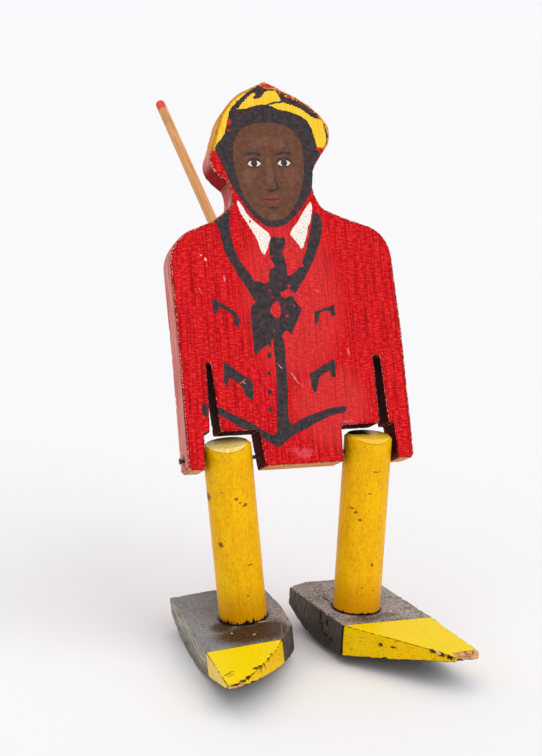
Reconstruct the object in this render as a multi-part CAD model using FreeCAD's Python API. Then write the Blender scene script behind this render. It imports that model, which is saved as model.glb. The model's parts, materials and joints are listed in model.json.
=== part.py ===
import FreeCAD, Part

import math
import os

from FreeCAD import Placement, Rotation, Vector

# A wooden dancing toy. A flat board cut to a man's outline hangs from a long stick, and two round
# legs with boat-bottomed shoes swing freely on nails through its hips.
#
# Millimetres and degrees. The board is drawn upright first: X along the hips to the viewer's right,
# Y from the printed front to the back, Z up, with the coat's hem at zero and the middle of the figure
# at X zero. It is then leaned back about the hips, and the finished toy is moved so that the frame's
# origin lies on the stick where its free round length starts. "Left" is the viewer's left.

# Stock sizes, all assumed. The legs' diameter sets the scale, and the board's thickness is a guess
BOARD_THICKNESS = 19.0
LEG_DIAMETER = 25.4
STICK_DIAMETER = 6.35
SHOE_STOCK = 19.0

# The board
BOARD_LEAN = 21.5
EDGE_WEAR = 0.7
UNWORN_HALF_WIDTH = 60.0
NOTCH_ROOF = 19.2
KERF_TOP = 55.2
HIP_DEPTH = 9.5
HIP_HEIGHT = 6.3

# The stick, which leaves the back at a slant
STICK_MOUTH_HEIGHT = 44.6
STICK_SLANT = 43.5
STICK_SEAT = 15.0
STICK_EASE = 4.0
STICK_SEATED_DIAMETER = 6.0
STICK_FREE = 346.5
STICK_TIP_EASE = 1.0

# The hip nails
NAIL_DIAMETER = 2.0
NAIL_LENGTH = 50.0
NAIL_POINT = 3.0
NAIL_TIP_RADIUS = 0.15
NAIL_HEAD_DIAMETER = 3.1
NAIL_HEAD_THICKNESS = 0.8
CHIP_RADIUS = 2.8
CHIP_DEPTH = 1.2
SWING_CLEARANCE = 0.08

# The legs, measured along the leg from the hip nail
LEG_BELOW_HIP = 87.3
LEG_ABOVE_HIP = 8.5
LEG_RIM_EASE = 1.5

# The shoes, drawn from above with X outwards, Y back and zero under the leg
SHOE_HALF_WIDTH = 26.0
HEEL_BACK = 48.3
TOE_THICKNESS = 1.4

# The left shoe's top edge is whittled away at the ball of the foot, along a plane through three points
WHITTLED_CORNER = [(-26.2, 4.0, 0.0), (-15.4, -37.5, 0.0), (-28.2, -14.0, -4.5)]

# The nail that holds each shoe to its leg, driven up through the sole
SOLE_NAIL_DIAMETER = 2.4
SOLE_NAIL_LENGTH = 42.0
SOLE_NAIL_HEAD_DIAMETER = 5.0
SOLE_NAIL_HEAD_THICKNESS = 1.0
SOLE_NAIL_SUNK = 0.5

# What differs from one side to the other, because the toy was made by hand. hip is the leg's place
# along the nail, toe_in leans the leg's foot towards the middle, yaw turns the shoe outwards, and
# shoe_offset is the shoe's middle line, outwards from the leg's.
SIDES = {
    "left": {
        "sign": -1,
        "wall": 60.9,
        "hip": 37.5,
        "toe_in": 5.64,
        "yaw": 0.8,
        "shoe_offset": 4.2,
        "nail_proud": 2.4,
        "heel_thickness": 9.0,
    },
    "right": {
        "sign": 1,
        "wall": 61.0,
        "hip": 38.4,
        "toe_in": 2.91,
        "yaw": 9.3,
        "shoe_offset": 6.6,
        "nail_proud": NAIL_HEAD_THICKNESS,
        "heel_thickness": 6.0,
    },
}

# How far a cutting shape runs past what it cuts
OVERRUN = 12.0

# How an inset outline is joined at its corners: by running its edges on until they meet
KEEP_CORNERS = 2

EX = Vector(1, 0, 0)
EY = Vector(0, 1, 0)
EZ = Vector(0, 0, 1)
ZERO = Vector(0, 0, 0)


def wire(start, moves, point):
    """Closed outline. A move is (end,) for a straight run, or (middle, end) for an arc."""
    edges = []
    here = start
    for move in moves + [(start,)]:
        end = move[-1]
        if len(move) == 2:
            edges.append(Part.Arc(point(*here), point(*move[0]), point(*end)).toShape())
        elif end != here:
            edges.append(Part.LineSegment(point(*here), point(*end)).toShape())
        here = end
    return Part.Wire(edges)


def turned(start, moves):
    """Solid turned about the Z axis from an outline of radius and height."""
    face = Part.Face(wire(start, moves, lambda r, z: Vector(r, 0, z)))
    return face.revolve(ZERO, EZ, 360)


def eased_rim(radius, top, ease):
    """The last moves of a turned outline: up its side, across its eased top edge, to the axis."""
    return [
        ((radius, top - ease),),
        ((radius - ease, top),),
        ((0, top),),
    ]


def placed(shape, placement):
    """The shape moved as a rigid body, so that its round faces stay true cylinders."""
    moved = shape.copy()
    moved.Placement = placement.multiply(shape.Placement)
    return moved


def nail(diameter, length, head_diameter, head_thickness):
    """A wire nail along Z: its head's top at zero, its point at the length."""
    shank = diameter / 2
    head = head_diameter / 2
    return turned(
        (0, 0),
        [
            ((head, 0),),
            ((head, head_thickness),),
            ((shank, head_thickness),),
            ((shank, length - NAIL_POINT),),
            ((NAIL_TIP_RADIUS, length),),
            ((0, length),),
        ],
    )


def silhouette():
    """The sawn outline of cap, head, shoulders and sleeves, and the two slots that free the arms."""
    right_half = [
        # cap, from its peak down to the brim
        ((17.0, 196.8),),
        ((26.2, 189.0), (31.5, 181.5)),
        ((31.9, 176.5), (28.3, 168.7)),
        ((23.1, 161.6),),
        # neck and shoulder
        ((19.5, 148.0), (25.0, 135.6)),
        ((38.4, 129.6), (49.2, 125.7)),
        ((56.9, 118.6), (59.7, 109.0)),
        # sleeve, with the worn corner of the cuff
        ((61.1, 68.0),),
        ((61.0, 1.5),),
        ((59.6, 0.0),),
        ((52.4, 0.0),),
        # notch for the leg, and the saw cut up its outer side
        ((51.6, NOTCH_ROOF),),
        ((48.7, NOTCH_ROOF),),
        ((47.5, KERF_TOP),),
        ((43.8, KERF_TOP),),
        ((43.7, NOTCH_ROOF),),
        ((22.8, NOTCH_ROOF),),
        ((21.9, 0.0),),
    ]
    left_half = [
        ((-19.8, 0.0),),
        ((-21.8, NOTCH_ROOF),),
        ((-42.3, NOTCH_ROOF),),
        ((-44.5, KERF_TOP),),
        ((-47.2, KERF_TOP),),
        ((-47.3, 31.0),),
        ((-48.1, NOTCH_ROOF),),
        ((-51.0, NOTCH_ROOF),),
        ((-51.9, 0.0),),
        ((-59.6, 0.0),),
        ((-61.0, 1.5),),
        ((-60.8, 55.0),),
        ((-61.6, 109.5),),
        # shoulder and neck
        ((-57.6, 120.0), (-46.8, 127.2)),
        ((-36.8, 130.7),),
        ((-26.6, 138.4),),
        ((-25.6, 144.5), (-26.9, 151.0)),
        # back of the cap
        ((-32.9, 156.6),),
        ((-35.7, 163.2), (-33.9, 170.3)),
        ((-28.7, 185.6),),
        ((-24.2, 193.2), (-15.9, 200.7)),
    ]
    return wire((-2.1, 207.0), right_half + left_half, lambda x, z: Vector(x, 0, z))


def eased_layer(outline):
    """A thin layer of board whose edge slopes in all round, from the outline at its back."""
    inset = outline.makeOffset2D(-EDGE_WEAR, KEEP_CORNERS, False, False)
    behind = outline.copy()
    behind.translate(EY * EDGE_WEAR)
    return Part.makeLoft([inset, behind], True, True)


def unworn_layer(outline):
    """The same layer where no hand reaches: square-edged round the notches and saw cuts."""
    layer = Part.Face(outline).extrude(EY * EDGE_WEAR)
    width = 2 * UNWORN_HALF_WIDTH
    zone = Part.makeBox(width, EDGE_WEAR, KERF_TOP + OVERRUN)
    zone.translate(Vector(-UNWORN_HALF_WIDTH, 0, -OVERRUN / 2))
    return layer.common(zone)


def make_board(cutters):
    """The board with the arrises of its outer outline eased, front and back."""
    outline = silhouette()
    board = Part.Face(outline).extrude(EY * (BOARD_THICKNESS - 2 * EDGE_WEAR))
    board.translate(EY * EDGE_WEAR)
    middle = EY * (BOARD_THICKNESS / 2)
    for layer in (eased_layer(outline), unworn_layer(outline)):
        board = board.fuse(layer).fuse(layer.mirror(middle, EY))
    board = board.removeSplitter()
    for cutter in cutters:
        board = board.cut(cutter)
    return board


def stick_placement():
    """Z along the stick, with zero where its axis crosses the back of the board."""
    slant = math.radians(STICK_SLANT)
    direction = Vector(0, math.cos(slant), math.sin(slant))
    return Placement(Vector(0, BOARD_THICKNESS, STICK_MOUTH_HEIGHT), Rotation(EZ, direction))


def make_stick():
    """The dowel, shaved to a slight taper where it is glued into its slanted blind hole."""
    radius = STICK_DIAMETER / 2
    seated = [((STICK_SEATED_DIAMETER / 2, -STICK_SEAT),), ((radius, STICK_EASE),)]
    stick = turned((0, -STICK_SEAT), seated + eased_rim(radius, STICK_FREE, STICK_TIP_EASE))
    return placed(stick, stick_placement())


def stick_hole():
    hole = Part.makeCylinder(STICK_DIAMETER / 2, STICK_SEAT + OVERRUN, Vector(0, 0, -STICK_SEAT))
    return placed(hole, stick_placement())


def make_hip_nail(side):
    """Driven in from the sleeve, through the leg and into the coat."""
    head_x = side["sign"] * (side["wall"] + side["nail_proud"])
    hip_nail = nail(NAIL_DIAMETER, NAIL_LENGTH, NAIL_HEAD_DIAMETER, NAIL_HEAD_THICKNESS)
    inwards = Rotation(EZ, EX * -side["sign"])
    return placed(hip_nail, Placement(Vector(head_x, HIP_DEPTH, HIP_HEIGHT), inwards))


def nail_chip(side):
    """The dished place where the wood broke out round the nail."""
    sphere = (CHIP_RADIUS**2 + CHIP_DEPTH**2) / (2 * CHIP_DEPTH)
    centre_x = side["sign"] * (side["wall"] + sphere - CHIP_DEPTH)
    return Part.makeSphere(sphere, Vector(centre_x, HIP_DEPTH, HIP_HEIGHT))


def leg_placement(side):
    """Z up the leg, with zero on the hip nail. The leg hangs upright, with its foot leaning in."""
    tilt = Rotation(EY, side["sign"] * side["toe_in"])
    return Placement(Vector(side["sign"] * side["hip"], 0, 0), tilt)


def shoe_placement(side):
    """X outwards, Y back and Z up the leg, with zero on the shoe's top under the leg."""
    seat = Placement(Vector(0, 0, -LEG_BELOW_HIP), Rotation(EZ, side["sign"] * side["yaw"]))
    return leg_placement(side).multiply(seat)


def make_leg(side, cutter):
    radius = LEG_DIAMETER / 2
    foot = [((radius, -LEG_BELOW_HIP),)]
    leg = turned((0, -LEG_BELOW_HIP), foot + eased_rim(radius, LEG_ABOVE_HIP, LEG_RIM_EASE))
    leg = placed(leg, leg_placement(side))
    # The bore follows the nail, so it is square to the hip line and not to the leg
    bore_radius = NAIL_DIAMETER / 2 + SWING_CLEARANCE
    bore_start = Vector(side["sign"] * side["hip"] - LEG_DIAMETER, 0, 0)
    bore = Part.makeCylinder(bore_radius, 2 * LEG_DIAMETER, bore_start, EX)
    return leg.cut(bore).cut(cutter)


def shoe_plan(name):
    """The shoe's outline from above, about its own middle line: outer edge, toe, then inner edge."""
    if name == "left":
        start = (SHOE_HALF_WIDTH, HEEL_BACK)
        moves = [
            ((24.7, -87.2),),
            ((19.8, -87.2),),
            ((1.0, -66.5), (-15.0, -40.5)),
            ((-27.6, -12.5),),
            ((-25.0, HEEL_BACK),),
        ]
    else:
        start = (SHOE_HALF_WIDTH + 0.6, HEEL_BACK)
        moves = [
            ((SHOE_HALF_WIDTH + 0.7, -25.2),),
            # the toe's end has split off along the grain
            ((23.2, -78.8),),
            ((17.6, -80.4),),
            ((16.4, -77.2),),
            ((12.2, -81.6),),
            ((10.6, -79.8),),
            ((6.3, -83.5),),
            ((-1.2, -66.8),),
            ((-26.8, -23.6),),
            ((-26.6, 42.4),),
            ((-15.2, HEEL_BACK),),
        ]
    return start, moves


def sole_profile(heel_thickness):
    """Side view of the shoe: flat on top, and a sole that rocks from heel to toe."""
    back = HEEL_BACK + 1
    front = -89.0
    start = (back, 0)
    moves = [
        ((back, -heel_thickness),),
        ((38.0, -heel_thickness / 2 - 8.8), (18.0, -17.7)),
        ((-2.0, -SHOE_STOCK), (-22.0, -17.4)),
        ((-56.0, -10.0), (front, -TOE_THICKNESS)),
        ((front, 0),),
    ]
    return start, moves


def beyond_plane(points):
    """A block on the inner side of the plane through three points, to whittle a corner with."""
    a, b, c = [Vector(*p) for p in points]
    normal = (b - a).cross(c - a).normalize()
    if normal.x > 0:
        normal = normal * -1
    reach = 4 * OVERRUN
    block = Part.makeBox(2 * reach, 2 * reach, OVERRUN, Vector(-reach, -reach, 0))
    return placed(block, Placement(a, Rotation(EZ, normal)))


def make_shoe(name, side, cutter):
    plan_start, plan_moves = shoe_plan(name)
    plan = Part.Face(wire(plan_start, plan_moves, lambda x, y: Vector(x, y, 0)))
    block = plan.extrude(EZ * -SHOE_STOCK)
    start, moves = sole_profile(side["heel_thickness"])
    reach = SHOE_HALF_WIDTH + OVERRUN
    section = Part.Face(wire(start, moves, lambda y, z: Vector(-reach, y, z)))
    shoe = block.common(section.extrude(EX * 2 * reach))
    if name == "left":
        shoe = shoe.cut(beyond_plane(WHITTLED_CORNER))
    shoe.translate(EX * side["shoe_offset"])
    if side["sign"] < 0:
        shoe = shoe.mirror(ZERO, EX)
    return placed(shoe, shoe_placement(side)).cut(cutter)


def make_sole_nail(side):
    sole_nail = nail(
        SOLE_NAIL_DIAMETER, SOLE_NAIL_LENGTH, SOLE_NAIL_HEAD_DIAMETER, SOLE_NAIL_HEAD_THICKNESS
    )
    head = Placement(Vector(0, 0, SOLE_NAIL_SUNK - SHOE_STOCK), Rotation())
    return placed(sole_nail, shoe_placement(side).multiply(head))


def sole_nail_hole(side, sole_nail):
    """The nail's own shape, and the dent below its sunk head."""
    below = -SHOE_STOCK - OVERRUN
    dent = Part.makeCylinder(
        SOLE_NAIL_HEAD_DIAMETER / 2, OVERRUN + SOLE_NAIL_SUNK, Vector(0, 0, below)
    )
    return sole_nail.fuse(placed(dent, shoe_placement(side)))


def main():
    hip = Vector(0, HIP_DEPTH, HIP_HEIGHT)
    lean = Placement(ZERO, Rotation(EX, -BOARD_LEAN), hip)
    stick_start = lean.multiply(stick_placement()).multVec(Vector(0, 0, STICK_EASE))
    to_frame = Placement(-stick_start, Rotation())
    from_hips = to_frame.multiply(Placement(hip, Rotation()))

    # The root body: the board with its stick and the two hip nails
    fixed = {"handle_stick": make_stick()}
    cutters = [stick_hole(), nail_chip(SIDES["left"])]
    for name, side in SIDES.items():
        fixed[f"{name}_hip_nail"] = make_hip_nail(side)
        cutters.append(fixed[f"{name}_hip_nail"])
    fixed["body_board"] = make_board(cutters)
    nodes = {}
    for name, solid in fixed.items():
        nodes[name] = placed(solid, to_frame.multiply(lean))

    # Each leg hangs from the hip line with its shoe and the nail that holds it
    for name, side in SIDES.items():
        sole_nail = make_sole_nail(side)
        cutter = sole_nail_hole(side, sole_nail)
        limb = {
            f"{name}_leg": make_leg(side, cutter),
            f"{name}_shoe": make_shoe(name, side, cutter),
            f"{name}_sole_nail": sole_nail,
        }
        for node, solid in limb.items():
            nodes[node] = placed(solid, from_hips)

    os.makedirs("parts", exist_ok=True)
    for node, solid in nodes.items():
        solid.exportStep(os.path.join("parts", f"{node}.step"))
        box = solid.BoundBox
        print(
            f"{node}: {len(solid.Solids)} solid, {solid.Volume / 1000:.2f} cm3,"
            f" x {box.XMin:.1f} to {box.XMax:.1f}, y {box.YMin:.1f} to {box.YMax:.1f},"
            f" z {box.ZMin:.1f} to {box.ZMax:.1f}, valid {solid.isValid()}"
        )
    hip_line = from_hips.multVec(ZERO)
    print(f"hip line at y {hip_line.y:.3f}, z {hip_line.z:.3f}")


main()
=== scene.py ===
# %% [markdown]
# # A wooden dancing toy
#
# The toy is a flat man sawn from a board. A long stick holds it from behind, and two loose round legs
# hang from nails through its hips. When the stick is jiggled, the shoes tap on a board underneath.
#
# The shapes come from a CAD model, which fixes every size. This lesson gives that model its looks:
# paint, print, worn edges and bare wood. Every step says what the real thing is, how it could be made
# in Blender, and why one way was chosen.

import json
import math
import random

import bmesh
import bpy
from mathutils import Matrix, Vector, geometry, kdtree, noise


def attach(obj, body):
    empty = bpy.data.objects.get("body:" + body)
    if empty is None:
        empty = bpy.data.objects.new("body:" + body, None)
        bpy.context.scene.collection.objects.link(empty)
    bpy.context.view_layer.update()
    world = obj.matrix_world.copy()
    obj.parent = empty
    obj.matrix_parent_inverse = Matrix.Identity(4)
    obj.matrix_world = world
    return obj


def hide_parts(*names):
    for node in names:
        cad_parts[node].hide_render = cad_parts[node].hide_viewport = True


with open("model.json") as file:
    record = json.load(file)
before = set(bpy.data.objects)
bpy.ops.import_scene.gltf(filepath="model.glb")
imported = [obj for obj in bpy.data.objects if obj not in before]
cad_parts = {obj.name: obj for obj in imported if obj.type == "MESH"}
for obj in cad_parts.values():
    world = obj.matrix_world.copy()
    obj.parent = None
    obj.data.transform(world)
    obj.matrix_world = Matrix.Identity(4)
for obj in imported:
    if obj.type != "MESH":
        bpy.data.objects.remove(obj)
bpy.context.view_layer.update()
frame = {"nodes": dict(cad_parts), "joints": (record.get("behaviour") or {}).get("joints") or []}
print("nodes:", ", ".join(sorted(frame["nodes"])))

# %% [markdown]
# ## Places on the toy
#
# The toy's paint is laid out on its own faces, so it helps to measure on them: so many millimetres
# across the coat and up from its hem, or along a shoe from its leg. Each flat thing gets a matrix that
# turns such a place into a place in the scene. The board leans back about the hips. Each leg leans in
# a little at the foot, and each shoe is turned outwards on its leg.

# %% Matrices for the board, the legs and the shoes
MM = 0.001
BOARD_LEAN = math.radians(21.5)
HIP_ON_BOARD = Vector((0, 9.5, 6.3))
LEG_LENGTH = 87.3
SIDES = {
    "left": {"sign": -1, "toe_in": math.radians(5.64), "yaw": math.radians(0.8), "offset": 4.2},
    "right": {"sign": 1, "toe_in": math.radians(2.91), "yaw": math.radians(9.3), "offset": 6.6},
}
hips = {}
for joint in frame["joints"]:
    hips[joint["name"].split("_")[0]] = Vector(joint["pos_m"])

hip_line = Matrix.Translation((0, hips["left"].y, hips["left"].z))
BOARD = hip_line @ Matrix.Rotation(-BOARD_LEAN, 4, "X") @ Matrix.Scale(MM, 4)
BOARD = BOARD @ Matrix.Translation(-HIP_ON_BOARD)
LEGS = {}
SHOES = {}
for name, side in SIDES.items():
    tilt = Matrix.Rotation(side["sign"] * side["toe_in"], 4, "Y")
    LEGS[name] = Matrix.Translation(hips[name]) @ tilt @ Matrix.Scale(MM, 4)
    turn = Matrix.Rotation(side["sign"] * side["yaw"], 4, "Z")
    SHOES[name] = LEGS[name] @ Matrix.Translation((0, 0, -LEG_LENGTH)) @ turn
print("top of the cap:", [round(c, 4) for c in BOARD @ Vector((-2, 0, 207))])

# %% [markdown]
# ## Writing a finish
#
# A painted finish is a small network of shader nodes: patterns that say where the paint is thick,
# thin, scratched or gone, and colours to mix by them. Writing every node out by hand would bury the
# idea, so a small class adds one node for each short call. Patterns read the object's own coordinates,
# turned into millimetres on the board, the leg or the shoe by a Mapping node, so the grain always runs
# along the wood.

# %% The finish writer
def paint(red, green, blue):
    """A colour as it looks on the object, from 0 to 255, made linear for the shader."""
    linear = []
    for level in (red, green, blue):
        level = level / 255
        linear.append(level / 12.92 if level <= 0.04045 else ((level + 0.055) / 1.055) ** 2.4)
    return (*linear, 1.0)


FAR_OFF = 9.0


class Finish:
    """One material. A value handed to a call is a number, a colour or another node's output."""

    def __init__(self, name, place):
        self.material = bpy.data.materials.new(name)
        self.material.use_nodes = True
        self.nodes = self.material.node_tree.nodes
        self.shader = self.nodes["Principled BSDF"]
        self.coordinates = self.nodes.new("ShaderNodeTexCoord")
        location, rotation, scale = place.inverted().decompose()
        turn = rotation.to_euler()
        self.place = self.add("ShaderNodeMapping", 0, self.coordinates.outputs["Object"])
        mapping = self.place.node
        mapping.inputs["Location"].default_value = location
        mapping.inputs["Rotation"].default_value = turn
        mapping.inputs["Scale"].default_value = scale
        facing = self.nodes.new("ShaderNodeMapping")
        facing.vector_type = "VECTOR"
        facing.inputs["Rotation"].default_value = turn
        self.put(facing.inputs["Vector"], self.coordinates.outputs["Normal"])
        self.facing = self.split(facing.outputs[0])
        self.x, self.y, self.z = self.split(self.place)
        self.relief = None

    def put(self, socket, value):
        if isinstance(value, bpy.types.NodeSocket):
            self.material.node_tree.links.new(value, socket)
        else:
            socket.default_value = value

    def add(self, kind, output, *values, **settings):
        node = self.nodes.new(kind)
        for key, value in settings.items():
            setattr(node, key, value)
        for socket, value in zip(node.inputs, values):
            self.put(socket, value)
        return node.outputs[output]

    def split(self, vector):
        node = self.add("ShaderNodeSeparateXYZ", 0, vector).node
        return node.outputs[0], node.outputs[1], node.outputs[2]

    def math(self, operation, *values):
        return self.add("ShaderNodeMath", 0, *values, operation=operation)

    def stretched(self, x, y, z):
        """The place with each direction scaled, for a pattern drawn out along the grain."""
        return self.add("ShaderNodeVectorMath", 0, self.place, (x, y, z), operation="MULTIPLY")

    def noise(self, vector, scale=1.0, detail=3.0, roughness=0.55):
        node = self.nodes.new("ShaderNodeTexNoise")
        self.put(node.inputs["Vector"], vector)
        node.inputs["Scale"].default_value = scale
        node.inputs["Detail"].default_value = detail
        node.inputs["Roughness"].default_value = roughness
        return node.outputs[0]

    def cells(self, vector, scale):
        """Distance to the nearest of many scattered points, for specks and pits."""
        node = self.nodes.new("ShaderNodeTexVoronoi")
        self.put(node.inputs["Vector"], vector)
        node.inputs["Scale"].default_value = scale
        return node.outputs["Distance"]

    def between(self, value, low, high):
        """Zero below low, one above high, and a smooth step between; high may be the lower one."""
        node = self.nodes.new("ShaderNodeMapRange")
        node.interpolation_type = "SMOOTHSTEP"
        if low > high:
            value = self.math("MULTIPLY", value, -1.0)
            low, high = -low, -high
        for socket, number in zip(node.inputs, (value, low, high)):
            self.put(socket, number)
        return node.outputs[0]

    def both(self, *masks):
        total = masks[0]
        for mask in masks[1:]:
            total = self.math("MULTIPLY", total, mask)
        return total

    def either(self, *masks):
        total = masks[0]
        for mask in masks[1:]:
            total = self.math("MAXIMUM", total, mask)
        return total

    def mix(self, factor, below, above):
        node = self.nodes.new("ShaderNodeMix")
        node.data_type = "RGBA"
        self.put(node.inputs[0], factor)
        self.put(node.inputs[6], below)
        self.put(node.inputs[7], above)
        return node.outputs[2]

    def blend(self, factor, below, above):
        """Like mix, for plain numbers."""
        node = self.nodes.new("ShaderNodeMix")
        self.put(node.inputs[0], factor)
        self.put(node.inputs[2], below)
        self.put(node.inputs[3], above)
        return node.outputs[0]

    def nearest(self, spots):
        """How far the nearest of some places is. Each is a centre and a size to measure by."""
        away = FAR_OFF
        for centre, size in spots:
            offset = self.add("ShaderNodeVectorMath", 0, self.place, centre, operation="SUBTRACT")
            scaled = self.add("ShaderNodeVectorMath", 0, offset, size, operation="DIVIDE")
            length = self.add("ShaderNodeVectorMath", 1, scaled, operation="LENGTH")
            away = self.math("MINIMUM", away, length)
        return away

    def patches(self, spots, shake, amount=0.8):
        """Ragged patches round some places. The shake is a pattern that breaks their outlines."""
        broken = self.math("MULTIPLY", self.math("SUBTRACT", shake, 0.5), 4.0 * amount)
        return self.between(self.math("ADD", self.nearest(spots), broken), 1.05, 0.85)

    def worn(self):
        """How near the surface is to a worn edge, kept on the mesh when its wood was weathered."""
        return self.add("ShaderNodeAttribute", 2, attribute_name="worn")

    def bump(self, height, depth, strength=1.0):
        """Relief from a pattern. The depth is in millimetres."""
        node = self.nodes.new("ShaderNodeBump")
        node.inputs["Strength"].default_value = strength
        node.inputs["Distance"].default_value = depth * MM
        self.put(node.inputs["Height"], height)
        if self.relief is not None:
            self.put(node.inputs["Normal"], self.relief)
        self.relief = node.outputs[0]

    def done(self, colour, roughness, **constants):
        self.put(self.shader.inputs["Base Color"], colour)
        self.put(self.shader.inputs["Roughness"], roughness)
        for key, value in constants.items():
            self.shader.inputs[key.replace("_", " ")].default_value = value
        if self.relief is not None:
            self.put(self.shader.inputs["Normal"], self.relief)
        print(f"finish {self.material.name}: {len(self.nodes)} nodes")
        return self.material


# %% [markdown]
# ## Red paint on the board
#
# The front was brushed with thin red paint, which sank into the grain and left upright streaks, with
# a faint weave where the brush dragged across them. The sawn walls took less paint and look chalky.
# The cap is yellow over the red. The hem is bare wood, because the board was stood on it. The shader
# tells these places apart by which way the surface faces and how high it is on the board, so one
# material can dress the whole board, as one painter did.

# %% The board's paint
BARE_WOOD = paint(240, 184, 120)
DARK_WOOD = paint(160, 98, 50)
CAP_FOOT = 170.0
ANY = 1000.0
# broad paler places over the chest, where a painted sheen lies
CHEST_SHEEN = [((2, 0, 88), (26, ANY, 44)), ((18, 0, 30), (20, ANY, 22))]
SMUDGES = [
    ((1.5, 0, 5.5), (4.4, ANY, 2.6)), ((-3.5, 0, 7.5), (1.8, ANY, 1.4)), ((26, 0, 21), (3.0, ANY, 0.8)),
]
CHEST_CHIPS = [((-42.6, 0, 110.3), (0.5, ANY, 0.9)), ((-44.8, 0, 112.5), (0.4, ANY, 0.4))]


def wood_grain(finish, along_x, along_y, along_z):
    """Bare wood: fine fibres over broad bands."""
    fibres = finish.noise(finish.stretched(along_x, along_y, along_z), detail=4, roughness=0.6)
    shade = finish.mix(finish.between(fibres, 0.35, 0.66), DARK_WOOD, BARE_WOOD)
    return finish.mix(0.5, shade, BARE_WOOD), fibres


def board_streaks(finish):
    """The upright streaks and the cross weave that the front's paint and print share."""
    streaks = finish.noise(finish.stretched(1.15, 0.3, 0.035), detail=4, roughness=0.72)
    weave = finish.noise(finish.stretched(0.34, 0.3, 1.25), detail=3, roughness=0.66)
    return streaks, weave


def make_board_paint():
    finish = Finish("board_paint", BOARD)
    streaks, weave = board_streaks(finish)
    spots = finish.noise(finish.place, scale=1.0, detail=5, roughness=0.7)
    grit = finish.noise(finish.stretched(1.5, 1.0, 0.9), detail=3, roughness=0.6)

    red = finish.mix(finish.between(streaks, 0.4, 0.55), paint(168, 0, 10), paint(214, 2, 18))
    thin = finish.both(finish.between(weave, 0.46, 0.38), 0.6)
    red = finish.mix(thin, red, paint(152, 0, 8))
    threads = finish.both(finish.between(weave, 0.48, 0.58), finish.between(streaks, 0.4, 0.52), 0.6)
    red = finish.mix(threads, red, paint(238, 60, 58))
    # painted sheen: a broad paler red over the chest's middle
    chest_sheen = finish.both(finish.patches(CHEST_SHEEN, weave, 0.5), 0.22)
    red = finish.mix(chest_sheen, red, paint(232, 84, 82))
    dust = finish.both(finish.between(grit, 0.62, 0.69), finish.between(weave, 0.44, 0.56), 0.7)
    red = finish.mix(dust, red, paint(242, 132, 118))
    smudges = finish.both(finish.patches(SMUDGES, spots, 0.9), 0.32)
    red = finish.mix(smudges, red, paint(236, 110, 124))
    red = finish.mix(finish.patches(CHEST_CHIPS, grit, 0.5), red, paint(255, 214, 190))

    # the yellow cap, over the red
    height = finish.math("ADD", finish.z, finish.both(spots, 3.0))
    cap = finish.between(height, CAP_FOOT, CAP_FOOT + 1.2)
    yellow = finish.mix(finish.between(streaks, 0.34, 0.56), paint(238, 184, 26), paint(250, 208, 60))
    yellow = finish.mix(finish.between(grit, 0.64, 0.7), yellow, paint(168, 84, 28))
    front = finish.mix(cap, red, yellow)

    # the sawn walls: chalky where they were only brushed over, with painted shade in deep red where they look
    # down and in darker red at the ears
    saw = finish.noise(finish.stretched(0.4, 0.75, 0.035), detail=4, roughness=0.68)
    chalk = finish.mix(finish.between(saw, 0.36, 0.62), paint(190, 88, 84), paint(236, 158, 148))
    lime = finish.both(finish.between(grit, 0.6, 0.68), 0.6)
    chalk = finish.mix(lime, chalk, paint(246, 210, 198))
    under = finish.both(finish.between(finish.facing[2], -0.1, -0.5), finish.between(finish.z, 100, 120))
    wall = finish.mix(under, chalk, paint(124, 12, 18))
    ear_shade = finish.both(finish.between(finish.z, 140, 146), finish.between(finish.z, 168, 160), 0.5)
    wall = finish.mix(ear_shade, wall, paint(150, 24, 28))
    cap_wall = finish.mix(finish.between(saw, 0.3, 0.7), paint(206, 128, 58), paint(240, 184, 92))
    wall = finish.mix(cap, wall, cap_wall)
    # painted shade: the walls inside the notches and the slots are dark red
    inside = finish.both(
        finish.between(finish.z, 57.0, 55.5),
        finish.between(finish.math("ABSOLUTE", finish.x), 53.0, 52.2),
    )
    dark = finish.mix(finish.between(grit, 0.42, 0.66), paint(44, 0, 2), paint(118, 4, 10))
    wall = finish.mix(inside, wall, dark)

    # bare end grain along the hem
    wood, _ = wood_grain(finish, 1.6, 1.6, 0.2)
    smears = finish.noise(finish.stretched(0.12, 0.3, 0.3), detail=3)
    wood = finish.mix(finish.between(smears, 0.6, 0.66), wood, paint(176, 40, 36))
    wood = finish.mix(finish.between(grit, 0.66, 0.7), wood, paint(70, 34, 20))
    hem = finish.both(finish.between(finish.facing[2], -0.5, -0.75), finish.between(finish.z, 3.0, 2.0))
    wall = finish.mix(hem, wall, wood)

    on_wall = finish.between(finish.math("ABSOLUTE", finish.facing[1]), 0.72, 0.6)
    colour = finish.mix(on_wall, front, wall)

    # hands rubbed the edges: first darker, and through to the pale ground on the proudest places
    ragged = finish.math("ADD", finish.worn(), finish.both(spots, 0.9))
    grime = finish.both(finish.between(ragged, 1.16, 1.3), 0.6)
    soiled = finish.mix(cap, paint(110, 4, 10), paint(176, 96, 34))
    colour = finish.mix(grime, colour, soiled)
    pale_ground = finish.mix(cap, paint(240, 160, 138), paint(206, 96, 44))
    colour = finish.mix(finish.between(ragged, 1.41, 1.46), colour, pale_ground)

    finish.bump(streaks, 0.1, 0.6)
    finish.bump(weave, 0.08, 0.6)
    finish.bump(finish.both(saw, on_wall), 0.15, 0.6)
    roughness = finish.blend(finish.between(spots, 0.3, 0.7), 0.5, 0.66)
    roughness = finish.blend(on_wall, roughness, 0.82)
    return finish.done(colour, roughness, Specular_IOR_Level=0.07)


board_paint = make_board_paint()

# %% [markdown]
# ## The printed colours
#
# The coat's lines, the collar and the head were printed over the red with thick ink. Ink fills the
# grain, so its streaks are softer, but it has pinholes where the red shows through, and pale dust in
# the scratches. One function makes each printed colour, so that all of them age in the same way.

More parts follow.
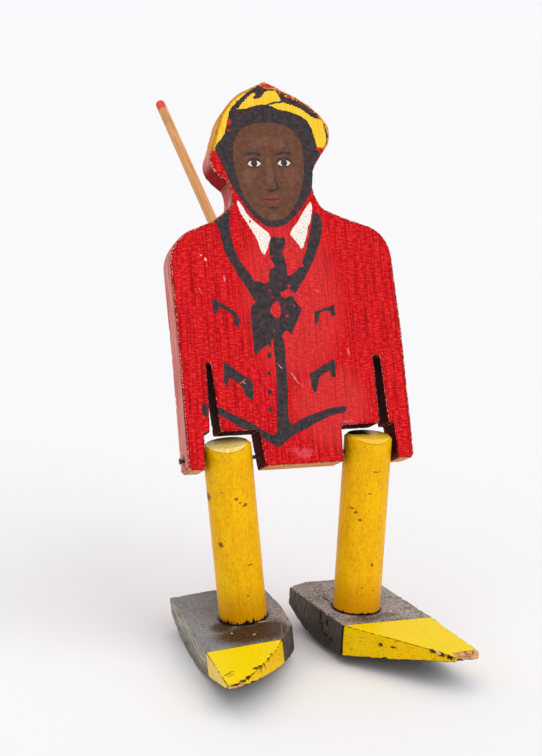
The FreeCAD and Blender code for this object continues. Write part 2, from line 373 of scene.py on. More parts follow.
# %% Printed inks
def make_print(name, body, light, pinhole, holes=0.5, dust=0.5, sandiness=0.0, roughness=0.5):
    """Printed ink: body and light are its two shades, and pinhole shows through in small specks."""
    finish = Finish(name, BOARD)
    streaks, weave = board_streaks(finish)
    cloud = finish.noise(finish.place, scale=0.35, detail=4, roughness=0.6)
    specks = finish.noise(finish.place, scale=1.5, detail=3, roughness=0.62)
    grit = finish.noise(finish.stretched(2.2, 1.0, 1.8), detail=2)
    colour = finish.mix(finish.between(cloud, 0.36, 0.66), body, light)
    threads = finish.both(finish.between(weave, 0.5, 0.62), finish.between(streaks, 0.42, 0.58), 0.45)
    colour = finish.mix(threads, colour, light)
    sand = finish.noise(finish.stretched(2.6, 1.0, 2.2), detail=2, roughness=0.6)
    colour = finish.mix(finish.both(finish.between(sand, 0.5, 0.68), sandiness), colour, paint(128, 122, 126))
    rare = 0.71 - 0.1 * holes
    bare = finish.both(finish.between(specks, rare, rare + 0.04), finish.between(cloud, 0.4, 0.5))
    colour = finish.mix(bare, colour, pinhole)
    pale = finish.both(finish.between(grit, 0.7, 0.75), finish.between(cloud, 0.42, 0.52), dust)
    colour = finish.mix(pale, colour, paint(200, 194, 196))
    finish.bump(streaks, 0.08, 0.6)
    finish.bump(weave, 0.06, 0.5)
    return finish.done(colour, finish.blend(cloud, roughness, roughness + 0.12), Specular_IOR_Level=0.12)


ink = make_print("printing_ink", paint(30, 27, 29), paint(54, 49, 51), paint(160, 26, 42), 1.0, 0.9, 0.34)
collar_white = make_print("collar_white", paint(240, 230, 218), paint(252, 244, 234), paint(70, 44, 46), 1.25)
skin_brown = make_print("skin_brown", paint(92, 58, 43), paint(112, 73, 54), paint(58, 38, 32), 0.5, 0.4)
skin_light = make_print("skin_light", paint(104, 67, 50), paint(122, 81, 60), paint(76, 49, 37), 0.6, 0.4)
lip_brown = make_print("lip_brown", paint(120, 58, 50), paint(136, 72, 60), paint(84, 44, 40), 0.5, 0.3)
eye_white = make_print("eye_white", paint(220, 208, 194), paint(234, 224, 210), paint(150, 120, 104), 0.4)
print_red = make_print("print_red", paint(186, 10, 26), paint(220, 48, 56), paint(120, 10, 20), 0.9, 0.8)
ORANGES = (paint(226, 112, 44), paint(246, 168, 84), paint(150, 30, 30))
flake_orange = make_print("flake_orange", *ORANGES, holes=0.9, dust=0.6)
PINKS = (paint(214, 96, 92), paint(240, 150, 138), paint(170, 20, 30))
scratch_pink = make_print("scratch_pink", *PINKS, holes=0.9, dust=0.4)

# %% [markdown]
# ## Yellow enamel on the legs
#
# The legs are broomstick-like dowels in glossy yellow enamel. Years of swinging left dark specks and
# short scratches. The yellow browns towards the shoe, and it stops in a ragged dark line where the leg
# meets it. The pattern is measured along the leg, so each mark keeps its place when the leg swings.

# %% The legs' enamel
LEG_MARKS = {
    "left": [
        ((-12.6, -1, -18), (1.5, 3, 2.2)), ((-7.2, -10.4, -14.6), (0.6, 3, 0.4)),
        ((-0.7, -12.7, -18.4), (1.0, 3, 0.7)), ((3.9, -12.1, -22.5), (1.4, 3, 0.9)),
        ((1.2, -12.6, -20.8), (0.8, 3, 0.4)), ((-9.9, -8, -43), (1.1, 3, 1.3)),
        ((3.5, -12.2, -55), (1.1, 3, 0.5)), ((0.8, -12.7, -71.5), (0.5, 3, 0.6)),
        ((-9.6, -8.4, -86.6), (3.4, 6, 1.7)),
    ],
    "right": [
        ((1.6, -12.6, -8.8), (2.2, 3, 0.3)), ((-1.2, -12.6, -20.5), (0.9, 3, 0.35)),
        ((-9.3, -8.7, -29), (0.8, 3, 0.6)), ((-7.5, -10.3, -31), (0.8, 3, 0.7)),
        ((-5.4, -11.5, -35), (0.9, 3, 0.5)), ((2.8, -12.4, -59.5), (0.8, 3, 1.0)),
        ((-2, -12.5, -72), (0.7, 3, 0.3)), ((4.5, -11.9, -74), (0.9, 3, 0.3)),
    ],
}
LEG_TOP = 8.5
# a slanting cut across the front of each leg's top: its middle, half its width, and its depth
TOP_CUT = {"left": (-1.0, 10.5, 2.0), "right": (0.5, 11.0, 2.4)}
# the pale cut's colour, brightened as a painted highlight
TOP_CUT_AND_HIGHLIGHT = {"left": paint(255, 238, 150), "right": paint(255, 208, 36)}


def make_leg_enamel(name):
    finish = Finish(f"{name}_leg_enamel", LEGS[name])
    broad = finish.noise(finish.stretched(0.12, 0.12, 0.05), detail=3)
    mottle = finish.noise(finish.stretched(0.8, 0.8, 0.36), detail=4, roughness=0.66)
    runs = finish.noise(finish.stretched(0.8, 0.8, 0.02), detail=3)
    blots = finish.noise(finish.place, scale=0.5, detail=5, roughness=0.68)
    grit = finish.noise(finish.stretched(1.6, 1.6, 1.1), detail=3, roughness=0.6)
    colour = finish.mix(finish.between(mottle, 0.32, 0.68), paint(230, 162, 0), paint(248, 194, 0))
    colour = finish.mix(finish.both(finish.between(broad, 0.42, 0.62), 0.5), colour, paint(250, 198, 0))
    colour = finish.mix(finish.both(finish.between(runs, 0.54, 0.68), 0.3), colour, paint(214, 142, 0))
    specks = finish.both(finish.between(grit, 0.61, 0.67), finish.between(blots, 0.48, 0.55), 0.75)
    colour = finish.mix(specks, colour, paint(140, 78, 6))
    near = finish.between(finish.cells(finish.place, 0.3), 0.13, 0.07)
    pits = finish.both(near, finish.between(blots, 0.47, 0.5), 0.8)
    colour = finish.mix(pits, colour, paint(104, 56, 8))
    marks = finish.patches(LEG_MARKS[name], grit, 1.0)
    colour = finish.mix(finish.both(marks, 0.85), colour, paint(92, 42, 6))

    # a darker orange towards the foot, then a ragged dark line where the leg meets the shoe: the shoe's paint
    # lapped up the leg, and the right leg's thinner line is also painted shadow
    above_foot = finish.math("ADD", finish.z, LEG_LENGTH)
    amber = finish.both(finish.between(above_foot, 26.0, 1.0), 0.6)
    colour = finish.mix(amber, colour, paint(212, 134, 0))
    jag = finish.noise(finish.stretched(0.42, 0.42, 0.06), detail=4, roughness=0.75)
    reach = 3.6 if name == "left" else 1.0
    foot = finish.both(finish.between(jag, 0.42, 0.7), reach)
    foot = finish.between(finish.math("SUBTRACT", above_foot, foot), 0.9, 0.5)
    colour = finish.mix(foot, colour, paint(24, 15, 9))

    # the sawn top: a pale cut in front, painted paler still as a highlight, and darker at the back, where it
    # goes under the board
    middle, half_width, depth = TOP_CUT[name]
    aside = finish.math("DIVIDE", finish.math("SUBTRACT", finish.x, middle), half_width)
    sag = finish.both(finish.math("SUBTRACT", 1.0, finish.both(aside, aside)), depth)
    rise = finish.math("ADD", finish.math("SUBTRACT", finish.z, LEG_TOP), sag)
    rise = finish.math("ADD", rise, finish.both(finish.math("SUBTRACT", blots, 0.5), 1.2))
    pale = finish.mix(finish.between(grit, 0.4, 0.64), TOP_CUT_AND_HIGHLIGHT[name], paint(232, 184, 70))
    behind = finish.math("ADD", finish.y, finish.both(mottle, 5.0))
    if name == "left":
        pale = finish.mix(finish.between(behind, 8.0, 12.0), pale, paint(150, 84, 16))
    else:
        darker_back = finish.both(finish.between(behind, 1.5, 4.0), finish.between(finish.x, 3.0, -1.0))
        pale = finish.mix(darker_back, pale, paint(38, 22, 8))
    lip = finish.both(finish.between(finish.math("ABSOLUTE", rise), 0.4, 0.15), finish.between(sag, 0.6, 1.2))
    colour = finish.mix(finish.both(lip, 0.6), colour, paint(150, 92, 10))
    colour = finish.mix(finish.between(rise, 0.0, 0.3), colour, pale)
    finish.bump(mottle, 0.06, 0.4)
    finish.bump(runs, 0.04, 0.5)
    finish.bump(finish.either(marks, specks, pits), -0.12, 0.7)
    roughness = finish.blend(finish.between(blots, 0.4, 0.7), 0.34, 0.5)
    return finish.done(colour, roughness, Specular_IOR_Level=0.1)


leg_enamel = {name: make_leg_enamel(name) for name in SIDES}

# %% [markdown]
# ## Shoe paint
#
# Each shoe is charcoal with a yellow toe cap, and the two colours meet in one crisp line across the
# shoe, so masking tape or a straight brush edge made it. The top is scuffed pale and grey with dust
# and painted sheen, the walls are darker, partly as painted shade, and the bare wood shows at the
# split toe. A painted shadow rings each leg. The line is a plane in the shoe's own frame, so it runs
# down the walls as it does on the real shoe.

# %% The shoes' paint
TOE_LINE = {"left": -40.0, "right": -24.4}
TOE_TIP = {"left": -86.2, "right": -76.5}
RUBS = {
    "left": [((-3, -25, 0), (22, 15, 30)), ((8, -24, 0), (17, 17, 30)), ((-14, -10, 0), (7, 9, 30))],
    "right": [((-4, -17, 0), (14, 6, 30)), ((10, -15, 0), (9, 4, 30))],
}
CUTS = {
    "left": [
        ((-26.4, -72.8, 0), (1.1, 0.6, 3)), ((-24.6, -71.4, 0), (1.1, 0.6, 3)),
        ((-22.9, -70.1, 0), (1.1, 0.5, 3)), ((-25.2, -75, 0), (1.3, 0.4, 3)),
        ((-23.3, -73.9, 0), (1.0, 0.4, 3)), ((-10.9, -71, 0), (1.7, 1.5, 3)),
        ((-8.6, -69.4, 0), (1.1, 1.3, 3)), ((-5.6, -66.2, 0), (0.7, 1.0, 3)),
        ((-2.3, -61.2, 0), (0.6, 1.0, 3)), ((0.6, -56.2, 0), (0.6, 1.1, 3)),
        ((-24, -86.6, 0), (2.6, 1.8, 1.2)), ((-20, -83.6, -0.3), (2.4, 1.8, 1)),
        ((-16.6, -80.2, -0.3), (2, 1.8, 0.9)),
    ],
    "right": [
        ((-9.4, 17.5, 0), (0.7, 5.5, 3)), ((-9.8, 8.5, 0), (1.6, 2.0, 3)),
        ((7.4, -70.8, -0.5), (1.2, 3.4, 1.3)), ((9.4, -75.4, -0.6), (1.2, 3.6, 1.5)),
        ((11.6, -80.4, -0.8), (1.2, 3.2, 1.5)), ((-8.2, -43.8, -5.0), (1.2, 1.6, 1.0)),
        ((-4.4, -50.2, -4.5), (1.4, 1.8, 0.5)), ((-20, 2.4, -4.5), (4, 1.1, 3.8)),
        ((-20, 0.2, -9), (4, 1.3, 3)), ((-20, -4.4, -11.9), (4, 3.0, 1.2)),
        ((-20, -5.8, -4.6), (4, 1.2, 2.2)), ((-20, -11.6, -12.2), (4, 1.4, 1.4)),
    ],
}
PALE_FLECKS = {
    "left": [((-11, -20, 0), (0.7, 0.8, 3)), ((-0.7, -27, 0), (0.8, 0.6, 3)), ((5.7, -11.5, 0), (6, 0.6, 3))],
    "right": [
        ((15.9, -9.8, 0), (0.7, 0.7, 3)), ((25, -12.3, 0), (0.6, 0.8, 3)),
        ((8.9, -74.4, -0.7), (0.7, 5.6, 0.5)),
    ],
}
CHARCOAL = {
    "left": (paint(84, 80, 78), paint(158, 154, 150), paint(92, 78, 68)),
    "right": (paint(98, 88, 82), paint(212, 200, 192), paint(112, 94, 84)),
}


def charcoal_paint(finish, name, top, grain, cloud, blots, grit):
    """The dark paint: grey with dust and painted sheen on top; walls darker, partly as painted shade, with
    painted sheen towards the back and painted shade towards the bottom; rubbed brown in front of the leg,
    with a painted shadow round it.
    """
    deep, dust_and_sheen, warm = CHARCOAL[name]
    # the top's pale grey is dust together with painted sheen
    soft = finish.between(finish.math("ADD", grit, finish.both(cloud, 0.8)), 0.74, 1.1)
    dust = finish.mix(soft, deep, dust_and_sheen)
    dust = finish.mix(finish.both(finish.between(grain, 0.5, 0.66), 0.3), dust, deep)
    speckle = finish.noise(finish.stretched(1.2, 0.55, 1.2), detail=2)
    share = 0.25 if name == "left" else 0.6
    dust = finish.mix(finish.both(finish.between(speckle, 0.52, 0.64), share), dust, paint(196, 190, 186))
    dust = finish.mix(finish.both(finish.between(speckle, 0.48, 0.36), share), dust, paint(40, 36, 34))
    dust = finish.mix(finish.both(finish.between(cloud, 0.46, 0.64), 0.4), dust, warm)
    if name == "left":
        # painted sheen: a paler grey over the left shoe's top towards its outer side
        left_back_sheen = finish.both(finish.between(finish.x, -6.0, -26.0), finish.between(blots, 0.7, 0.4), 0.6)
        dust = finish.mix(left_back_sheen, dust, paint(156, 158, 160))
        worn_grey = finish.both(finish.between(finish.x, 8.0, 18.0), finish.between(blots, 0.4, 0.6), 0.6)
        dust = finish.mix(worn_grey, dust, paint(184, 172, 160))
    sawn = finish.noise(finish.stretched(0.8, 1.1, 0.16), detail=3, roughness=0.6)
    # the walls' darker grey is partly painted shade
    wall = finish.mix(finish.between(grit, 0.38, 0.66), paint(40, 34, 30), paint(104, 96, 88))
    wall = finish.mix(finish.both(finish.between(sawn, 0.4, 0.62), 0.5), wall, paint(112, 104, 96))
    # painted sheen: paler streaks on the walls towards the back
    wall_sheen = finish.both(finish.between(sawn, 0.36, 0.6), finish.between(finish.y, -2.0, 30.0), 0.7)
    wall = finish.mix(wall_sheen, wall, paint(136, 130, 122))
    # painted shade: the walls darken towards the bottom
    wall = finish.mix(finish.both(finish.between(finish.z, -7.0, -15.0), 0.45), wall, paint(24, 20, 18))
    if name == "left":
        along = finish.noise(finish.stretched(0.2, 0.06, 0.9), detail=4, roughness=0.65)
        rasped = finish.mix(finish.between(along, 0.36, 0.62), paint(104, 98, 90), paint(190, 182, 166))
        low = finish.both(finish.between(finish.z, -5.0, -15.0), 0.6)
        rasped = finish.mix(low, rasped, paint(92, 86, 78))
        wall = finish.mix(finish.between(finish.facing[0], -0.35, -0.7), wall, rasped)
    charcoal = finish.mix(top, wall, dust)
    brown = finish.mix(finish.between(grit, 0.42, 0.62), paint(24, 15, 8), paint(104, 70, 34))
    strength = 0.94 if name == "left" else 0.55
    away = finish.math("ADD", finish.nearest(RUBS[name]), finish.both(blots, 0.5))
    rub = finish.both(finish.between(away, 1.35, 0.75), top, strength)
    charcoal = finish.mix(rub, charcoal, brown)
    # painted shadow: a dark ring round the leg on the shoe's top
    flat = finish.stretched(1, 1, 0)
    round_leg = finish.add("ShaderNodeVectorMath", 1, flat, operation="LENGTH")
    ring = finish.both(finish.between(round_leg, 14.4, 13.0), top, 0.85)
    charcoal = finish.mix(ring, charcoal, paint(22, 15, 10))
    return finish.mix(finish.between(grit, 0.72, 0.76), charcoal, paint(196, 190, 184))


def toe_paint(finish, name, top, cloud, blots, grit):
    """The yellow of the toe, speckled most on its sides."""
    lemon = paint(252, 220, 0) if name == "left" else paint(250, 216, 10)
    yellow = finish.mix(top, paint(246, 198, 2), lemon)
    faded = finish.both(finish.between(cloud, 0.5, 0.7), 0.35)
    yellow = finish.mix(faded, yellow, paint(250, 222, 28))
    dull = finish.both(finish.between(blots, 0.58, 0.68), 0.5)
    yellow = finish.mix(dull, yellow, paint(212, 156, 8))
    hatch = finish.noise(finish.stretched(0.9, 0.22, 1.5), detail=3, roughness=0.6)
    hatch = finish.both(finish.between(hatch, 0.56, 0.64), finish.between(top, 0.6, 0.2), 0.6)
    yellow = finish.mix(hatch, yellow, paint(150, 96, 10))
    specks = finish.both(finish.between(grit, 0.61, 0.66), finish.between(blots, 0.46, 0.54), 0.8)
    yellow = finish.mix(specks, yellow, paint(104, 56, 8))
    if name == "left":
        pale_facet = finish.both(finish.between(finish.facing[0], -0.3, -0.6), 0.75)
        yellow = finish.mix(pale_facet, yellow, paint(250, 216, 112))
    return yellow


def make_shoe_paint(name):
    finish = Finish(f"{name}_shoe_paint", SHOES[name])
    grain = finish.noise(finish.stretched(0.6, 0.04, 0.6), detail=4, roughness=0.66)
    cloud = finish.noise(finish.place, scale=0.07, detail=4, roughness=0.62)
    blots = finish.noise(finish.place, scale=0.5, detail=5, roughness=0.7)
    grit = finish.noise(finish.place, scale=1.25, detail=4, roughness=0.7)
    top = finish.between(finish.facing[2], 0.5, 0.85)
    charcoal = charcoal_paint(finish, name, top, grain, cloud, blots, grit)
    yellow = toe_paint(finish, name, top, cloud, blots, grit)

    # the masked line, with a dark seam beside it that is widest on the walls
    line = finish.math("ADD", finish.y, finish.both(blots, 0.5))
    toe = finish.between(line, TOE_LINE[name] + 0.4, TOE_LINE[name] + 0.1)
    before = finish.math("SUBTRACT", line, TOE_LINE[name])
    seam = finish.between(finish.math("ADD", before, finish.both(top, 1.3)), 2.5, 1.5)
    charcoal = finish.mix(finish.both(seam, 0.85), charcoal, paint(30, 20, 12))
    colour = finish.mix(toe, charcoal, yellow)

    # the sharp edges: rubbed pale on the charcoal, a thin dark line on the yellow
    ragged = finish.math("ADD", finish.worn(), finish.both(blots, 0.9))
    off_toe = finish.between(before, 2.0, 4.0)
    rubbed = finish.both(finish.between(ragged, 1.3, 1.42), off_toe, 0.5)
    colour = finish.mix(rubbed, colour, paint(136, 120, 104))
    chips = finish.both(finish.between(ragged, 1.5, 1.56), off_toe)
    chipped = finish.mix(finish.between(cloud, 0.44, 0.56), paint(206, 184, 164), paint(150, 98, 60))
    colour = finish.mix(chips, colour, chipped)
    edge = finish.both(finish.between(finish.worn(), 0.8, 0.92), toe)
    dark_line = finish.both(edge, finish.between(blots, 0.4, 0.48), 0.85)
    colour = finish.mix(dark_line, colour, paint(62, 34, 8))
    cuts = finish.patches(CUTS[name], grit, 0.8)
    colour = finish.mix(finish.both(cuts, 0.95), colour, paint(22, 13, 8))
    colour = finish.mix(finish.patches(PALE_FLECKS[name], grit, 0.8), colour, paint(226, 204, 158))

    # bare wood at the tip, where the toe wore through or split, under a dark torn line of paint
    wood, fibres = wood_grain(finish, 1.3, 0.12, 1.3)
    wood = finish.mix(0.5, wood, paint(240, 176, 140))
    cracks = finish.noise(finish.stretched(0.5, 0.1, 1.5), detail=3, roughness=0.6)
    wood = finish.mix(finish.both(finish.between(cracks, 0.55, 0.62), 0.85), wood, paint(92, 46, 22))
    torn = finish.both(finish.math("SUBTRACT", blots, 0.5), 9.0)
    tip = finish.math("ADD", finish.math("ADD", finish.y, torn), finish.both(top, 2.4))
    worn_off = finish.between(tip, TOE_TIP[name] + 2.2, TOE_TIP[name] + 1.6)
    torn_line = finish.between(tip, TOE_TIP[name] + 3.0, TOE_TIP[name] + 2.6)
    if name == "right":
        beyond = finish.between(finish.math("ADD", finish.x, torn), 14.0, 16.0)
        worn_off = finish.both(worn_off, beyond)
        torn_line = finish.both(torn_line, beyond)
    colour = finish.mix(finish.both(torn_line, 0.8), colour, paint(84, 44, 12))
    colour = finish.mix(worn_off, colour, wood)

    # every face that looks down is dark brown, scuffed to the wood low down where the sole taps
    scuffed = finish.both(finish.between(finish.z, -13.0, -16.0), finish.between(blots, 0.4, 0.62))
    sole = finish.mix(scuffed, paint(46, 38, 32), paint(118, 98, 78))
    colour = finish.mix(finish.between(finish.facing[2], -0.2, -0.45), colour, sole)

    finish.bump(grain, 0.2, 0.6)
    finish.bump(grit, 0.1, 0.5)
    finish.bump(cuts, -0.3, 0.8)
    finish.bump(finish.both(fibres, worn_off), 0.5, 0.8)
    roughness = finish.blend(toe, finish.blend(finish.between(cloud, 0.3, 0.7), 0.46, 0.6), 0.45)
    roughness = finish.blend(worn_off, roughness, 0.8)
    return finish.done(colour, roughness, Specular_IOR_Level=0.06)


shoe_paint = {name: make_shoe_paint(name) for name in SIDES}

# %% [markdown]
# ## Bare stick and dark nails
#
# The stick is a bare dowel, browned where hands hold it, with its far tip dipped in red. Its grain is
# long fibres along the dowel. The nails are wire nails that went dark and a little rusty. Both are
# small in view, so a few nodes are enough, but each still has its own variation and relief.

# %% Stick and steel
STICK_SLANT = math.radians(43.5)
STICK_DIRECTION = Vector((0, math.cos(STICK_SLANT - BOARD_LEAN), math.sin(STICK_SLANT - BOARD_LEAN)))
STICK_FREE = 342.5
STICK = Vector((0, 0, 1)).rotation_difference(STICK_DIRECTION).to_matrix().to_4x4() @ Matrix.Scale(MM, 4)


def make_stick_wood():
    finish = Finish("stick_wood", STICK)
    fibres = finish.noise(finish.stretched(1.4, 1.4, 0.03), detail=5, roughness=0.65)
    bands = finish.noise(finish.stretched(0.25, 0.25, 0.006), detail=2)
    handled = finish.noise(finish.stretched(0.2, 0.2, 0.05), detail=3)
    colour = finish.mix(finish.between(fibres, 0.32, 0.66), paint(196, 128, 74), paint(228, 168, 108))
    colour = finish.mix(finish.both(finish.between(bands, 0.45, 0.6), 0.4), colour, paint(232, 184, 128))
    colour = finish.mix(finish.both(finish.between(handled, 0.52, 0.7), 0.4), colour, paint(170, 108, 62))
    edge = finish.math("ADD", finish.z, finish.math("MULTIPLY", handled, 5.0))
    dipped = finish.between(edge, STICK_FREE - 10.0, STICK_FREE - 9.0)
    red = finish.mix(finish.between(fibres, 0.35, 0.6), paint(206, 48, 34), paint(232, 84, 58))
    colour = finish.mix(dipped, colour, red)
    finish.bump(fibres, 0.08, 0.6)
    return finish.done(colour, finish.blend(dipped, 0.6, 0.45), Specular_IOR_Level=0.12)


def make_nail_steel():
    finish = Finish("nail_steel_dark", Matrix.Scale(MM, 4))
    rust = finish.noise(finish.place, scale=1.4, detail=4, roughness=0.7)
    colour = finish.mix(finish.between(rust, 0.42, 0.64), paint(58, 50, 46), paint(104, 58, 34))
    finish.bump(rust, 0.06, 0.7)
    roughness = finish.blend(finish.between(rust, 0.4, 0.65), 0.38, 0.78)
    return finish.done(colour, roughness, Metallic=0.7)


stick_wood = make_stick_wood()
nail_steel = make_nail_steel()

# %% [markdown]
# ## Weathering the wood
#
# Sawn and handled wood has no perfect edge: corners are rounded, nicked and a little crooked. The CAD
# solids have clean edges, and their meshes have only a few large triangles. So a merged copy of each
# solid is divided finely beside its edges and coarsely elsewhere. The points near an edge are smoothed
# together and nicked by noise, and flat places stay flat for the print. A value called "worn" is kept
# on every point, one at an edge and falling to zero a few millimetres in, for the paint to read.

# %% Weathering tools
# an edge is sharp when its two faces meet at more than this angle
SHARP = math.radians(25)
# in metres: nearer points are one point, and nearer points lie on a cutting plane
SAME_POINT = 2e-6
ON_PLANE = 1e-6
# in millimetres: steps along a sharp edge, and how far in from it a nick reaches
EDGE_STEP = 0.4
NICK_REACH = 2.0
SMOOTHING_PASSES = 4
# how quickly the noise changes, per metre
BROAD_NICKS = 330
SMALL_NICKS = 900
SLOW_WAVE = 60


def new_object(name, data):
    """An object in the scene, at the origin and not turned."""
    thing = bpy.data.objects.new(name, data)
    bpy.context.scene.collection.objects.link(thing)
    return thing


def merged_copy(node):
    """The CAD solid's surface as one connected mesh."""
    surface = bmesh.new()
    surface.from_mesh(frame["nodes"][node].data)
    bmesh.ops.remove_doubles(surface, verts=surface.verts, dist=SAME_POINT)
    return surface


def edge_tree(surface):
    """A search tree of points along the sharp edges."""
    points = []
    for edge in surface.edges:
        if edge.calc_face_angle(0) > SHARP:
            start, end = edge.verts[0].co, edge.verts[1].co
            steps = max(1, math.ceil((end - start).length / (EDGE_STEP * MM)))
            points += [start.lerp(end, i / steps) for i in range(steps + 1)]
    tree = kdtree.KDTree(len(points))
    for number, point in enumerate(points):
        tree.insert(point, number)
    tree.balance()
    return tree


def sliced(surface, place, across, low, high, step):
    """Cut every face along evenly spaced planes, so that no triangle stays long and thin."""
    normal = (place.to_3x3() @ Vector(across)).normalized()
    count = round((high - low) / step)
    for number in range(1, count):
        point = place @ (Vector(across) * (low + (high - low) * number / count))
        everything = surface.verts[:] + surface.edges[:] + surface.faces[:]
        bmesh.ops.bisect_plane(surface, geom=everything, dist=ON_PLANE, plane_co=point, plane_no=normal)
    bmesh.ops.triangulate(surface, faces=[face for face in surface.faces if len(face.verts) > 3])


def halve(edge):
    """Cut an edge in its middle, and the triangles beside it from there to their far corners."""
    beside = [(face, next(v for v in face.verts if v not in edge.verts)) for face in edge.link_faces]
    middle = bmesh.utils.edge_split(edge, edge.verts[0], 0.5)[1]
    for face, corner in beside:
        bmesh.utils.face_split(face, middle, corner)
    return middle


def divided(surface, tree, fine, slope):
    """Halve edges until they are fine beside the sharp edges, and coarser further in.

    An edge waits until every longer side of its triangles has been halved, because triangles that
    are always cut across their longest side never become slivers.
    """
    waiting = list(surface.edges)
    while waiting:
        edge = waiting.pop()
        length = edge.calc_length()
        if length <= fine * MM:
            continue
        away = tree.find((edge.verts[0].co + edge.verts[1].co) / 2)[2]
        if length <= slope * away:
            continue
        sides = [side for face in edge.link_faces for side in face.edges]
        longest = max(sides, key=lambda side: side.calc_length())
        while longest.calc_length() > length * 1.001:
            waiting.append(edge)
            edge = longest
            length = edge.calc_length()
            sides = [side for face in edge.link_faces for side in face.edges]
            longest = max(sides, key=lambda side: side.calc_length())
        waiting += halve(edge).link_edges


def weather(surface, tree, reach, nick, round_over, wave=0.0, seed=0.0, keep=None):
    """Round and nick the edges, and wave the whole surface a little. Sizes are in millimetres."""
    layer = surface.verts.layers.float.new("worn")
    away = {}
    for vertex in surface.verts:
        away[vertex] = tree.find(vertex.co)[2] / MM
        vertex[layer] = max(0.0, 1.0 - away[vertex] / reach)
    near = [v for v in surface.verts if away[v] < round_over and not (keep and keep(v.co))]
    for _ in range(SMOOTHING_PASSES):
        bmesh.ops.smooth_vert(
            surface, verts=near, factor=0.5, use_axis_x=True, use_axis_y=True, use_axis_z=True
        )
    surface.normal_update()
    shift = Vector((seed, 2 * seed, 3 * seed))
    for vertex in surface.verts:
        if keep and keep(vertex.co):
            continue
        depth = 0.0
        if away[vertex] < NICK_REACH:
            broad = noise.noise(vertex.co * BROAD_NICKS + shift)
            small = noise.noise(vertex.co * SMALL_NICKS + shift)
            bite = max(0.0, broad + 0.35 * small - 0.12)
            depth += nick * bite * (1 - away[vertex] / NICK_REACH) ** 2
        if wave:
            depth += wave * (0.5 + noise.noise(vertex.co * SLOW_WAVE + shift))
        vertex.co -= vertex.normal * depth * MM
    surface.normal_update()


def as_piece(surface, name, body, material, sharp=50.0):
    """Turn the working surface into an object that rides on its body."""
    mesh = bpy.data.meshes.new(name)
    surface.to_mesh(mesh)
    surface.free()
    mesh.shade_smooth()
    mesh.set_sharp_from_angle(angle=math.radians(sharp))
    piece = new_object(name, mesh)
    mesh.materials.append(material)
    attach(piece, body)
    print(f"{name}: {len(mesh.polygons)} faces")
    return piece


# %% [markdown]
# ## The board
#
# The board is the one big piece. Its front has to stay a true plane, because the print lies on it, so
# only the strip beside each edge is weathered, and the holes for the nails and the stick are kept as
# they were drilled. It stands for its CAD solid.

# %% The weathered board
NAIL_MARGIN = 4.0
STICK_MARGIN = 5.0


def near_a_hole(place):
    """True round the nail holes and the stick's hole, which stay as drilled."""
    on_board = BOARD.inverted() @ place
    beside_nail = math.hypot(on_board.y - HIP_ON_BOARD.y, on_board.z - HIP_ON_BOARD.z) < NAIL_MARGIN
    along = place.dot(STICK_DIRECTION)
    beside_stick = (place - STICK_DIRECTION * along).length < STICK_MARGIN * MM
    return beside_nail or beside_stick


surface = merged_copy("body_board")
tree = edge_tree(surface)
sliced(surface, BOARD, (1, 0, 0), low=-64, high=64, step=8)
sliced(surface, BOARD, (0, 0, 1), low=0, high=208, step=8)
divided(surface, tree, fine=1.0, slope=1.2)
weather(surface, tree, reach=3.0, nick=0.9, round_over=0.9, seed=3.1, keep=near_a_hole)
board = as_piece(surface, "painted_board", "figure", board_paint)
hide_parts("body_board")

# %% [markdown]
# ## The legs and the stick
#
# The legs and the stick are dowels, and a dowel's CAD solid already has the right shape, down to its
# eased rims and the bore for its nail. A new mesh would add nothing, so these solids stay as they are
# and only get their paint and wood. Their marks and their worn tops are laid out along the dowel.

# %% Dressing the dowels
def dress(node, material):
    """Give a CAD solid a better finish and leave its shape alone."""
    solid = frame["nodes"][node]
    if not solid.data.materials:
        solid.data.materials.append(material)
    for slot in solid.material_slots:
        slot.material = material
    print(f"{node}: dressed in {material.name}, {len(solid.data.polygons)} faces")


for name in SIDES:
    dress(f"{name}_leg", leg_enamel[name])
dress("handle_stick", stick_wood)

# %% [markdown]
# ## The shoes
#
# The shoes were sawn and rasped by eye: their edges wander, and the corners are dented from tapping.
# The same weathering does this with stronger settings, and a slow wave over the whole surface. The
# ring under the leg stays flat, so that the leg still stands on it.

# %% The weathered shoes
RING_RADIUS = 15.0


def under_leg(name):
    """A test that is true on the flat ring that the leg stands on."""
    back = SHOES[name].inverted()

    def test(place):
        at = back @ place
        return math.hypot(at.x, at.y) < RING_RADIUS

    return test


shoes = {}
for name in SIDES:
    surface = merged_copy(f"{name}_shoe")
    tree = edge_tree(surface)
    sliced(surface, SHOES[name], (0, 1, 0), low=-90, high=50, step=3.5)
    sliced(surface, SHOES[name], (1, 0, 0), low=-34, high=34, step=4)
    divided(surface, tree, fine=1.0, slope=1.0)
    seed = 9.0 + SIDES[name]["sign"]
    weather(surface, tree, 3.2, nick=1.3, round_over=1.0, wave=0.3, seed=seed, keep=under_leg(name))
    shoes[name] = as_piece(
        surface, f"{name}_painted_shoe", f"{name}_limb", shoe_paint[name]
    )
    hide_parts(f"{name}_shoe")

# %% [markdown]
# ## Nails from a node tree
#
# A wire nail is a shank, a flat head and a point, and the toy has four, of two sizes. That is what
# Geometry Nodes are good at: one tree makes a nail from named sizes, and an instance of it stands at
# every given place, turned along that place's direction. The result is turned into a plain mesh, one
# for each body.

# %% What every tree shares
def new_tree(name, inputs):
    """An empty tree with its named inputs, and the node that hands them out."""
    tree = bpy.data.node_groups.new(name, "GeometryNodeTree")
    for label, kind, value in inputs:
        socket = tree.interface.new_socket(label, in_out="INPUT", socket_type="NodeSocket" + kind)
        if value is not None:
            socket.default_value = value
    tree.interface.new_socket("Result", in_out="OUTPUT", socket_type="NodeSocketGeometry")
    return tree, tree.nodes.new("NodeGroupInput")


